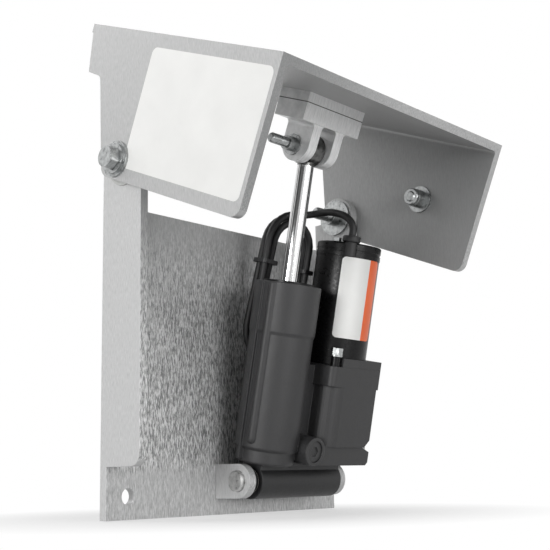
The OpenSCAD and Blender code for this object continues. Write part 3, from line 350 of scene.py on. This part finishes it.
MATERIALS = {
    "aluminium_plate": mill_aluminium("plate_aluminium", "#828383", "#EAEAEA", 0.36),
    "clevis_aluminium": machined_aluminium("milled_aluminium", "#D8D9D9", "#F4F4F4"),
    "zinc_steel": plated_steel("zinc_plated_steel", "#8C8E8E", "#BCBEBE"),
    "ground_steel": plated_steel("ground_steel", "#9C9C9B", "#CFCFCE"),
    # The chromed rod's dark and pale colours are its painted reflection
    "hard_chrome": hard_chrome("chromed_rod_painted_reflection", "#4A4B4C", "#F2F2F2"),
    "casting_paint": painted_casting("painted_sand_casting", "#242425", "#303031"),
    "motor_paint": black_enamel("black_enamel", "#070708", "#0D0D0E"),
    "black_rubber": moulded("black_rubber", "#0E0E0F", "#1B1B1C", 0.55),
    "black_nylon": moulded("black_nylon", "#161617", "#242425", 0.45),
    "white_nylon": moulded("natural_nylon", "#CFCBBE", "#E4E0D4", 0.4),
    "gear_bronze": turned_bronze("gear_bronze", "#9A7A3E", "#C9A55C"),
    "rotor_iron": moulded("laminated_iron", "#4A4848", "#6C6A6A", 0.5),
    "white_vinyl": vinyl_film("white_vinyl", "#D9D9D7", "#E6E6E4"),
    "orange_vinyl": vinyl_film("orange_vinyl", "#D9581F", "#F26A2E"),
}
# Nodes with a finish of their own within their slot
OWN_FINISH = {
    # The arm plate's copy paints shade on the right arm's inner face, darker toward the front
    "motor_bracket": mill_aluminium("arm_plate_with_painted_shade", "#747575", "#DADADA", 0.4, painted_inner_shade=0.1),
    "tilt_bushings": moulded("grey_nylon", "#A4A5A3", "#B9BAB8", 0.45),
    "rod_eye": plated_steel("oiled_steel", "#4C4C4B", "#727271"),
}

for part in RECORD["subparts"]:
    if part["node"] in NODES:
        finishes = NODES[part["node"]].data.materials
        finishes.clear()
        finishes.append(OWN_FINISH.get(part["node"], MATERIALS[part["material_slot"]]))


# Meshes


def piece(name, points, faces, material, body, smooth=35, slot=None):
    """A mesh piece that rides on a body, smooth where its faces meet under the given angle.

    Its slot argument is not used.
    """
    mesh = bpy.data.meshes.new(name)
    mesh.from_pydata([tuple(p) for p in points], [], faces)
    mesh.validate()
    obj = bpy.data.objects.new(name, mesh)
    bpy.context.scene.collection.objects.link(obj)
    mesh.materials.append(MATERIALS[material])
    mesh.shade_smooth()
    mesh.set_sharp_from_angle(angle=math.radians(smooth))
    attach(obj, body)
    return obj


# How many points a ring has
SIDES = 72


def lofted(stations, place):
    """Rings of points about local z: each station is (height, radius by angle)."""
    points = []
    for height, radius in stations:
        for i in range(SIDES):
            a = 2 * math.pi * i / SIDES
            r = radius(a)
            points.append(place @ Vector((r * math.cos(a), r * math.sin(a), height)))
    faces = []
    for k in range(len(stations) - 1):
        low, high = k * SIDES, (k + 1) * SIDES
        for i in range(SIDES):
            j = (i + 1) % SIDES
            faces.append((low + i, low + j, high + j, high + i))
    last = (len(stations) - 1) * SIDES
    faces.append(tuple(reversed(range(SIDES))))
    faces.append(tuple(last + i for i in range(SIDES)))
    return points, faces


def joined(*shapes):
    """Several shapes' points and faces as one."""
    points, faces = [], []
    for more_points, more_faces in shapes:
        start = len(points)
        points += more_points
        faces += [tuple(start + i for i in f) for f in more_faces]
    return points, faces


def round_of(r):
    return lambda a: r


# Hexagon heads and threads

# The radius of a head's face over its flats, and the angle at which its corners are cut
FACE_PART = 0.475
CHAMFER_ANGLE = math.radians(30)
# The chamfer's rings, whose drops hex_stations makes so small that they all lie at the face
CHAMFER_STEPS = (0, 0.25, 0.5, 0.8, 1.2, 1.7)
CHAMFER_FLATS = 19
# The raised seat under a head: its radius over the flats, and its thickness
SEAT_PART = 0.47
SEAT_T = 0.4 * MM
# A thread's rings in one pitch, its depth over the pitch, and the depth over the pitch and slope of its end
THREAD_STEPS = 6
THREAD_DEPTH = 0.54
LEAD_IN = 1.1
LEAD_SLOPE = 0.9


def hexagon(flats):
    """The radius of a hexagon that has a corner at angle 0."""
    return lambda a: flats / 2 / math.cos((a % (math.pi / 3)) - math.pi / 6)


def chamfered(flats, drop):
    """The radius of a hexagon whose corners are cut by a cone, at a drop from its face."""
    cone = flats * FACE_PART + drop / math.tan(CHAMFER_ANGLE)
    flat = hexagon(flats)
    return lambda a: min(flat(a), cone)


def hex_stations(flats, low, high, both=False):
    """A head from low to high, a hexagon that narrows to a round face; with both, a nut, which is round."""
    drops = [d * flats / CHAMFER_FLATS * MM for d in CHAMFER_STEPS]
    top = [(high - d, chamfered(flats, d)) for d in reversed(drops)]
    if both:
        return [(low + d, chamfered(flats, d)) for d in drops] + top
    seat = round_of(flats * SEAT_PART)
    return [(low, seat), (low + SEAT_T, seat), (low + SEAT_T, hexagon(flats))] + top


def thread(r, pitch, height, end):
    """The radius of a thread's flank at a height; it is chamfered near its end."""

    def radius(a):
        turn = (height / pitch - a / (2 * math.pi)) % 1
        flank = r - THREAD_DEPTH * pitch * (1 - abs(2 * turn - 1))
        return min(flank, r - LEAD_IN * pitch + abs(end - height) * LEAD_SLOPE)

    return radius


def bolt_stations(r, pitch, end, thread_from, head_low, head_high, flats):
    """A bolt along +z: its threaded end, plain shank and head."""
    step = pitch / THREAD_STEPS
    heights = [end + k * step for k in range(int((thread_from - end) / step) + 1)]
    rings = [(height, thread(r, pitch, height, end)) for height in heights]
    rings += [(thread_from + pitch / 2, round_of(r)), (head_low, round_of(r))]
    return rings + hex_stations(flats, head_low, head_high)


def solid_of(node, nth, count):
    """The corner points of one of a node's solids, counted along +X."""
    mesh = NODES[node].data
    xs = sorted(v.co.x for v in mesh.vertices)
    if count == 1:
        return [v.co.copy() for v in mesh.vertices]
    gaps = sorted(((b - a, (a + b) / 2) for a, b in zip(xs, xs[1:])), reverse=True)[: count - 1]
    cuts = [-math.inf] + sorted(g[1] for g in gaps) + [math.inf]
    return [v.co.copy() for v in mesh.vertices if cuts[nth] < v.co.x < cuts[nth + 1]]


def extent(points):
    """The lowest and highest corner of some points."""
    low = Vector([min(p[i] for p in points) for i in range(3)])
    high = Vector([max(p[i] for p in points) for i in range(3)])
    return low, high


def about_axis(points, axis):
    """A frame on these points' own axis, x at their farthest corner, with their low and high ends."""
    side = axis.orthogonal().normalized()
    level = turned_to(Vector(), side, axis.cross(side), axis)
    local = [level.inverted() @ p for p in points]
    low, high = extent(local)
    centre = (low + high) / 2
    away = [Vector((p.x - centre.x, p.y - centre.y, 0)) for p in local]
    x = level.to_3x3() @ max(away, key=lambda d: d.length).normalized()
    origin = level @ Vector((centre.x, centre.y, 0))
    return turned_to(origin, x, axis.cross(x), axis), low.z, high.z


# Bolts and nuts

INCH = 25.4 * MM
# Each size's diameter, pitch, head height and width across flats
HALF_INCH = {"d": INCH / 2, "pitch": INCH / 13, "head": 8 * MM, "flats": 19 * MM}
THREE_EIGHTHS = {"d": 9.5 * MM, "pitch": INCH / 16, "head": 6.4 * MM, "flats": 14 * MM}


def bolt(node, nth, count, axis, threaded, d, pitch, head, flats, end=None):
    """A bolt's mesh in place of one solid of a node; the axis points out of its head."""
    place, low, top = about_axis(solid_of(node, nth, count), axis)
    end = low if end is None else end
    return lofted(bolt_stations(d / 2, pitch, end, end + threaded, top - head, top, flats), place)


def nut(node, nth, count, axis, flats):
    """A nut's mesh in place of one solid of a node, round and a little narrower than its flats."""
    place, low, high = about_axis(solid_of(node, nth, count), axis)
    return lofted(hex_stations(flats, low, high, both=True), place)


def fastener(name, node, body, *shapes):
    """One piece of zinc-plated steel in place of a node."""
    made = piece(name, *joined(*shapes), "zinc_steel", body, smooth=24)
    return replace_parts(made, node)


WEST, EAST = -ACROSS, ACROSS
# How much of each bolt is threaded
TILT_THREAD = 25 * MM
STOP_THREAD = 12 * MM
CLEVIS_THREAD = 26 * MM

fastener(
    "tilt_bolt_pair", "tilt_bolts", "transom",
    bolt("tilt_bolts", 0, 2, WEST, TILT_THREAD, **HALF_INCH),
    bolt("tilt_bolts", 1, 2, EAST, TILT_THREAD, **HALF_INCH),
)
fastener(
    "tilt_nut_pair", "tilt_nuts", "transom",
    nut("tilt_nuts", 0, 2, EAST, HALF_INCH["flats"]),
    nut("tilt_nuts", 1, 2, EAST, HALF_INCH["flats"]),
)

# The stop bolt's nut has a nylon collar, in whose mouth the bolt ends
STOP_PLACE, STOP_NUT_LOW, _ = about_axis(solid_of("stop_nut", 0, 1), EAST)
LOCK_COLLAR = 4 * MM
STOP_PROUD = 1.4 * MM
STOP_END = STOP_NUT_LOW - LOCK_COLLAR - STOP_PROUD
# The collar's rings: how far out along it, and its radius in millimetres
LOCK_RINGS = ((1, 6.6), (1, 7.6), (0.8, 8.3), (0.3, 8.7), (0, 8.7))
lock_stations = [(STOP_NUT_LOW - out * LOCK_COLLAR, round_of(r * MM)) for out, r in LOCK_RINGS]
fastener(
    "stop_bolt_threaded", "stop_bolt", "motor_bracket",
    bolt("stop_bolt", 0, 1, EAST, STOP_THREAD, end=STOP_END, **HALF_INCH),
)
fastener(
    "stop_nut_chamfered", "stop_nut", "motor_bracket",
    nut("stop_nut", 0, 1, EAST, HALF_INCH["flats"]),
    lofted(lock_stations, STOP_PLACE),
)

fastener(
    "clevis_bolt_threaded", "clevis_bolt", "motor_bracket",
    bolt("clevis_bolt", 0, 1, EAST, CLEVIS_THREAD, **THREE_EIGHTHS),
)
fastener(
    "clevis_nut_chamfered", "clevis_nut", "motor_bracket",
    nut("clevis_nut", 0, 1, EAST, THREE_EIGHTHS["flats"]),
)


# The cord: boot, lead and hank

CORD_D = 7 * MM
# The lead's points, in millimetres in the ram's frame, as in the CAD
LEAD_ROUTE = (
    (52, -25, 239), (52, -25, 246), (51.5, -22, 252.3), (50.5, -15, 257.4), (49.5, -5, 260), (48.5, 5, 260.5),
    (47.3, 14, 259.2), (44.3, 22, 257.2), (40, 28, 255.4),
)
# The steps of the lead's curve between two of its points
LEAD_STEPS = 4
# The hank's middle, how it is turned and leans, its straight runs, outer radius, pitch and turns
HANK_AT = (28.5, 36, 182)
HANK_TURN = math.radians(-6)
HANK_LEAN = math.radians(4)
HANK_RUN = 82
HANK_R = 31
HANK_PITCH = 8
HANK_TURNS = 2.5
# How far the cord goes straight into the hank and out of it
HANK_TAIL = 2
# The part of a turn in which the cord climbs to the back layer
HANK_CLIMB = 0.5
# The points of one turn
HANK_RINGS = 48


def curve_through(points, steps):
    """A smooth curve through given points."""
    made = []
    for i in range(len(points) - 1):
        a, b, c = points[max(i - 1, 0)], points[i], points[i + 1]
        d = points[min(i + 2, len(points) - 1)]
        for k in range(steps):
            t = k / steps
            bend = (2 * a - 5 * b + 4 * c - d) * t**2 + (3 * b - a - 3 * c + d) * t**3
            made.append((2 * b + (c - a) * t + bend) / 2)
    return made


def smooth_step(t):
    c = min(max(t, 0), 1)
    return c * c * (3 - 2 * c)


def hank_place(turn):
    """Where the cord is after some turns: it winds in, climbs to the back layer and winds out."""
    half = HANK_TURNS / 2
    r = HANK_R - HANK_PITCH * (half - abs(turn - half))
    bend = math.pi * r
    along = (turn - math.floor(turn)) * (2 * bend + 2 * HANK_RUN)
    y = HANK_PITCH * (smooth_step((turn - half) / HANK_CLIMB + 0.5) - 0.5)
    straight = HANK_RUN / 2
    if along < bend / 2:
        a = along / r
        return Vector((-r * math.sin(a), y, straight + r * math.cos(a)))
    along -= bend / 2
    if along < HANK_RUN:
        return Vector((-r, y, straight - along))
    along -= HANK_RUN
    if along < bend:
        a = along / r
        return Vector((-r * math.cos(a), y, -straight - r * math.sin(a)))
    along -= bend
    if along < HANK_RUN:
        return Vector((r, y, -straight + along))
    a = (along - HANK_RUN) / r
    return Vector((r * math.cos(a), y, straight + r * math.sin(a)))


HANK = Matrix.Translation(HANK_AT) @ Matrix.Rotation(HANK_TURN, 4, "Z") @ Matrix.Rotation(HANK_LEAN, 4, "Y")
hank_line = [HANK @ hank_place(i / HANK_RINGS) for i in range(int(HANK_TURNS * HANK_RINGS) + 1)]
hank_line.append(HANK @ (hank_place(HANK_TURNS) + Vector((HANK_TAIL, 0, 0))))
hank_way = (hank_line[1] - hank_line[0]).normalized()
lead_points = [Vector(p) for p in LEAD_ROUTE] + [hank_line[0] - HANK_TAIL * hank_way]
lead_line = curve_through(lead_points, LEAD_STEPS)
cord_line = [RAM @ (p * MM) for p in lead_line + hank_line]


def round_curve(name, line, d, material, body):
    """A round cord along a line of points."""
    curve = bpy.data.curves.new(name, "CURVE")
    curve.dimensions = "3D"
    curve.bevel_depth = d / 2
    curve.bevel_resolution = 5
    curve.use_fill_caps = True
    spline = curve.splines.new("POLY")
    spline.points.add(len(line) - 1)
    for spot, p in zip(spline.points, line):
        spot.co = (*p, 1)
    obj = bpy.data.objects.new(name, curve)
    bpy.context.scene.collection.objects.link(obj)
    curve.materials.append(MATERIALS[material])
    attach(obj, body)
    return obj


power_cord = round_curve("power_cord", cord_line, CORD_D, "black_rubber", "ram")
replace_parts(power_cord, "cable_lead", "cable_hank")


# The boot stands in the motor's cap, where the lead leaves it
LEAD_X, LEAD_Y, LEAD_S = LEAD_ROUTE[0]
BOOT_FOOT = 219.05
CAP_TOP = 232.5
BOOT_CUFF = 6
# The ribbed part's middle radius, how far its ribs rise and sink from it, their number and their steps
BOOT_R = 7.35
BOOT_RIB_H = 0.45
BOOT_RIBS = 2
BOOT_STEPS = 12


def boot_rings():
    """The boot's outline: a plug in the cap, a lip, two soft ribs and a wide cuff with a drawn-in mouth."""
    rings = [(BOOT_FOOT, 6.7), (CAP_TOP, 6.7), (CAP_TOP + 0.05, 7.7)]
    ribs_top = LEAD_S - BOOT_CUFF
    for i in range(BOOT_STEPS + 1):
        t = i / BOOT_STEPS
        height = CAP_TOP + 0.1 + t * (ribs_top - CAP_TOP - 0.2)
        rings.append((height, BOOT_R - BOOT_RIB_H * math.cos(t * 2 * BOOT_RIBS * math.pi)))
    rings += [(ribs_top, 8.1), (ribs_top + 0.5, 8.5), (ribs_top + 1.2, 8.6), (LEAD_S - 1.5, 8.6)]
    rings += [(LEAD_S - 0.6, 8.3), (LEAD_S - 0.15, 7.5), (LEAD_S, 6.4)]
    rings += [(LEAD_S - 0.4, 4.6), (LEAD_S - 0.4, 3.4)]
    return [(height * MM, round_of(r * MM)) for height, r in rings]


BOOT_PLACE = RAM @ Matrix.Translation(Vector((LEAD_X, LEAD_Y, 0)) * MM)
boot = piece("lead_boot", *lofted(boot_rings(), BOOT_PLACE), "black_rubber", "ram")
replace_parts(boot, "cable_boot")


def box_shape(place, low, high, edge):
    """A box whose edges are all rounded by the same radius."""
    made = bmesh.new()
    bmesh.ops.create_cube(made, size=1)
    size = Vector(high) - Vector(low)
    centre = (Vector(high) + Vector(low)) / 2
    for v in made.verts:
        v.co = Vector(v.co[i] * size[i] + centre[i] for i in range(3))
    bmesh.ops.bevel(made, geom=list(made.edges), offset=edge, segments=4, profile=0.5, affect="EDGES")
    points = [place @ v.co for v in made.verts]
    faces = [tuple(v.index for v in f.verts) for f in made.faces]
    made.free()
    return points, faces


# The two-way plug at the cord's far end, shrouded and ribbed for a grip
PLUG_BACK = 1.5
PLUG_DROP = 2.5
PLUG_IN_HANK = (0, HANK_PITCH / 2 + PLUG_BACK, -HANK_RUN / 2 - HANK_R - PLUG_DROP)
PLUG_AT = RAM @ Matrix.Scale(MM, 4) @ HANK @ Matrix.Translation(PLUG_IN_HANK)
PLUG_L, PLUG_D, PLUG_W = 26, 10, 13
# How far its body lies under its ribs
PLUG_IN = 0.4
NOSE_EDGE = 0.7
RIBS, RIB_FROM, RIB_PITCH, RIB_W, RIB_EDGE = 4, 5, 4, 1.8, 0.5


def across_plug(from_x, to_x, half_d, half_w, edge):
    """A rounded block of the plug, from one place along it to another."""
    return box_shape(PLUG_AT, (from_x, -half_d, -half_w), (to_x, half_d, half_w), edge)


plug_shapes = [
    across_plug(HANK_TAIL + 0.05, PLUG_L, PLUG_D / 2 - PLUG_IN, PLUG_W / 2 - PLUG_IN, 1),
    across_plug(PLUG_L - 1, PLUG_L + PLUG_D / 2, PLUG_D / 3, PLUG_W / 3, NOSE_EDGE),
]
for i in range(RIBS):
    rib_x = HANK_TAIL + RIB_FROM + i * RIB_PITCH
    plug_shapes.append(across_plug(rib_x, rib_x + RIB_W, PLUG_D / 2, PLUG_W / 2, RIB_EDGE))
plug = piece("cord_plug", *joined(*plug_shapes), "black_nylon", "ram", smooth=50)
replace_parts(plug, "cable_plug")

tie_mesh = NODES["cable_ties"].data
tie_points = [v.co.copy() for v in tie_mesh.vertices]
tie_faces = [tuple(f.vertices) for f in tie_mesh.polygons]
ties = piece("cord_ties", tie_points, tie_faces, "black_nylon", "ram")
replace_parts(ties, "cable_ties")


# The side plates' rear edges run on above the web, flush with the transom face
PLATE_T = 7.94
WEB_TOP = 151.2
EDGE_TOP = 181
# They reach this far into the plate, and stand this much inside its faces
EDGE_IN = 1
EDGE_INSET = 0.02
IN_MM = Matrix.Scale(MM, 4)
flange_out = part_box("transom_bracket")[1].x / MM
edge_shapes = []
for x in (-flange_out, flange_out - PLATE_T):
    edge_low = (x + EDGE_INSET, -PLATE_T - EDGE_IN, WEB_TOP - EDGE_IN)
    edge_high = (x + PLATE_T - EDGE_INSET, 0, EDGE_TOP)
    edge_shapes.append(box_shape(IN_MM, edge_low, edge_high, EDGE_INSET))
piece("flange_rear_edges", *joined(*edge_shapes), "aluminium_plate", "transom")


# Labels: bare vinyl sheets


def rounded_sheet(corners, r, steps=8):
    """The outline of a flat sheet, (u, v) in millimetres, with its corners rounded."""
    made = []
    spots = [Vector(corner) for corner in corners]
    for i, here in enumerate(spots):
        before, after = spots[i - 1], spots[(i + 1) % len(spots)]
        a, b = (before - here).normalized(), (after - here).normalized()
        half = a.angle(b) / 2
        centre = here + (a + b).normalized() * (r / math.sin(half))
        start = here + a * (r / math.tan(half)) - centre
        end = here + b * (r / math.tan(half)) - centre
        sweep = start.angle(end)
        for k in range(steps + 1):
            t = k / steps
            blend = start * math.sin((1 - t) * sweep) + end * math.sin(t * sweep)
            made.append(centre + blend / math.sin(sweep))
    return made


def plate_frame():
    """The motor bracket's frame: its plate's rear top edge, x across, -y forward, -z down."""
    points = [v.co for v in NODES["motor_bracket"].data.vertices]
    top = max(p.dot(PLATE_UP) for p in points)
    back = max(p.dot(PLATE_BACK) for p in points)
    return turned_to(PLATE_UP * top + PLATE_BACK * back, ACROSS, PLATE_BACK, PLATE_UP)


BRACKET = plate_frame()
ARM_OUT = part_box("motor_bracket")[1].x
# How far a label's back and face stand off the metal
LABEL_LIFTS = (0.02, 0.15)
LABEL_REAR, LABEL_FRONT = 95.4, 246.3
LABEL_TOP, LABEL_LOW = 12, 118
LABEL_R = 6

LABEL_CORNERS = (
    (LABEL_REAR, LABEL_TOP), (LABEL_FRONT, LABEL_TOP), (LABEL_FRONT, LABEL_LOW), (LABEL_REAR, LABEL_LOW),
)
outline = rounded_sheet(LABEL_CORNERS, LABEL_R)
label_points, rim = [], len(outline)
for lift in LABEL_LIFTS:
    for u, v in outline:
        label_points.append(BRACKET @ Vector((-ARM_OUT - lift * MM, -u * MM, -v * MM)))
label_faces = [tuple(range(rim)), tuple(reversed(range(rim, 2 * rim)))]
label_faces += [(i, (i + 1) % rim, rim + (i + 1) % rim, rim + i) for i in range(rim)]
piece("arm_label", label_points, label_faces, "white_vinyl", "motor_bracket", slot="white_nylon")

CAN_R = 31
STICKER_LOW, STICKER_HIGH = 141, 218.6
STICKER_R = 4
STICKER_STEPS = 40
# Where the sticker begins, where its stripe begins and where it ends, in degrees from +x
STICKER_FROM, STICKER_SPLIT, STICKER_TO = -149.5, -95.0, -68.0


def can_patch(from_angle, to_angle):
    """Part of the sticker on the motor's can, between two angles, with the rounded corners it has there."""
    at = RAM.inverted() @ MOTOR_AXIS
    points, faces = [], []
    for r in [CAN_R + lift for lift in LABEL_LIFTS]:
        for i in range(STICKER_STEPS + 1):
            # Closer rows toward the sticker's outer edge, where its corners turn
            t = i / STICKER_STEPS
            t = 1 - (1 - t) ** 2 if from_angle == STICKER_SPLIT else t**2
            degrees = from_angle + (to_angle - from_angle) * t
            a = math.radians(degrees)
            edge = math.radians(min(degrees - STICKER_FROM, STICKER_TO - degrees)) * CAN_R
            into = max(STICKER_R - edge, 0)
            inset = STICKER_R - math.sqrt(max(STICKER_R**2 - into**2, 0))
            for s in (STICKER_LOW + inset, STICKER_HIGH - inset):
                flat = Vector((at.x + r * MM * math.cos(a), at.y + r * MM * math.sin(a), s * MM))
                points.append(RAM @ flat)
    layer = 2 * (STICKER_STEPS + 1)
    for i in range(STICKER_STEPS):
        a, b, c, d = 2 * i, 2 * i + 1, 2 * i + 3, 2 * i + 2
        faces += [(a, b, c, d), (layer + d, layer + c, layer + b, layer + a)]
        faces += [(a, d, layer + d, layer + a), (c, b, layer + b, layer + c)]
    faces += [(0, layer, layer + 1, 1), (layer - 1, 2 * layer - 1, 2 * layer - 2, layer - 2)]
    return points, faces


sticker = can_patch(STICKER_FROM, STICKER_SPLIT)
stripe = can_patch(STICKER_SPLIT, STICKER_TO)
piece("motor_sticker", *sticker, "white_vinyl", "ram", slot="white_nylon")
piece("motor_sticker_stripe", *stripe, "orange_vinyl", "ram", slot="white_nylon")


# Camera, floor and light

# The camera's place in metres, its direction and its lens, solved from the photograph
CAMERA_AT = Vector((-0.6891, -0.695955, -0.0870))
YAW, PITCH, ROLL = math.radians(-47.633), math.radians(11.207), math.radians(-1.222)
SENSOR = 36
LENS = 66.40
CLIP_START = 0.01
# The floor's half width, how far it lies under the foot, and where it fades to white
FLOOR_HALF = 6
FLOOR_GAP = 0.0005
FLOOR_FADE = (0.18, 0.34)
# How white the floor is before it fades
FLOOR_NEAR = 0.55
# The room's light on the object
ROOM = 0.26
WHITE = "#FFFFFF"
# About the unit's middle, at which the lamps are aimed
UNIT = (0, -0.1, 0.05)


def camera():
    """The photograph's place and direction, given by yaw, pitch and roll."""
    ahead = Vector((-math.sin(YAW) * math.cos(PITCH), math.cos(YAW) * math.cos(PITCH), math.sin(PITCH)))
    right = ahead.cross(Vector((0, 0, 1))).normalized()
    up = right.cross(ahead)
    level_right = math.cos(ROLL) * right + math.sin(ROLL) * up
    level_up = -math.sin(ROLL) * right + math.cos(ROLL) * up
    data = bpy.data.cameras.new("camera")
    data.sensor_width = SENSOR
    data.lens = LENS
    data.clip_start = CLIP_START
    obj = bpy.data.objects.new("camera", data)
    obj.matrix_world = turned_to(CAMERA_AT, level_right, level_up, -ahead)
    bpy.context.scene.collection.objects.link(obj)
    bpy.context.scene.camera = obj


def seen_directly(tree):
    """1 on the camera's rays and on those that shiny or clear pieces send on, 0 on all other rays."""
    path = add(tree, "LightPath").outputs
    rays = {0: path["Is Camera Ray"], 1: path["Is Glossy Ray"]}
    opaque = add(tree, "Math", rays, operation="MAXIMUM")
    return add(tree, "Math", {0: opaque, 1: path["Is Transmission Ray"]}, operation="MAXIMUM")


def floor():
    """A pale level floor at the unit's foot, which takes its shadow and fades to white around it."""
    z = cad_box[0][2] - FLOOR_GAP
    corners = [(x * FLOOR_HALF, y * FLOOR_HALF, z) for x, y in ((-1, -1), (1, -1), (1, 1), (-1, 1))]
    mesh = bpy.data.meshes.new("floor")
    mesh.from_pydata(corners, [], [(0, 1, 2, 3)])
    obj = bpy.data.objects.new("floor", mesh)
    bpy.context.scene.collection.objects.link(obj)
    material, tree, principled = shader("studio_floor", "#F4F4F4", Roughness=0.6)
    where = add(tree, "TexCoord").outputs["Object"]
    away = add(tree, "VectorMath", {0: where}, operation="LENGTH")
    fade = add(tree, "MapRange", span(away, *FLOOR_FADE, FLOOR_NEAR, 1))
    white = add(tree, "Emission", {"Color": linear(WHITE), "Strength": 1.0})
    part = add(tree, "Math", {0: fade, 1: seen_directly(tree)}, operation="MULTIPLY")
    both = add(tree, "MixShader", {0: part, 1: principled, 2: white})
    feed(tree, both, tree.nodes["Material Output"].inputs["Surface"])
    mesh.materials.append(material)


def lamp(name, at, aim, size, watts):
    """A round soft lamp of the given diameter, aimed at a place."""
    data = bpy.data.lights.new(name, "AREA")
    data.shape = "DISK"
    data.size = size
    data.energy = watts
    obj = bpy.data.objects.new(name, data)
    obj.location = at
    obj.rotation_euler = (Vector(aim) - Vector(at)).to_track_quat("-Z", "Y").to_euler()
    bpy.context.scene.collection.objects.link(obj)


def world():
    """Plain soft light; what is seen directly of the room is white."""
    made = bpy.data.worlds.new("studio")
    bpy.context.scene.world = made
    made.use_nodes = True
    tree = made.node_tree
    tree.nodes.clear()
    room = add(tree, "Background", {"Color": linear(WHITE), "Strength": ROOM})
    white = add(tree, "Background", {"Color": linear(WHITE), "Strength": 1.0})
    both = add(tree, "MixShader", {0: seen_directly(tree), 1: room, 2: white})
    add(tree, "OutputWorld", {"Surface": both})


camera()
floor()
world()
lamp("key", (-2.3, -0.34, 0.25), UNIT, 0.7, 27)
lamp("fill", (-0.3, -1.9, 0.0), UNIT, 1.0, 18)
lamp("rim", (-0.6, 1.2, 1.2), (0, 0, 0.1), 0.8, 4)
bpy.context.scene.view_settings.view_transform = "Standard"
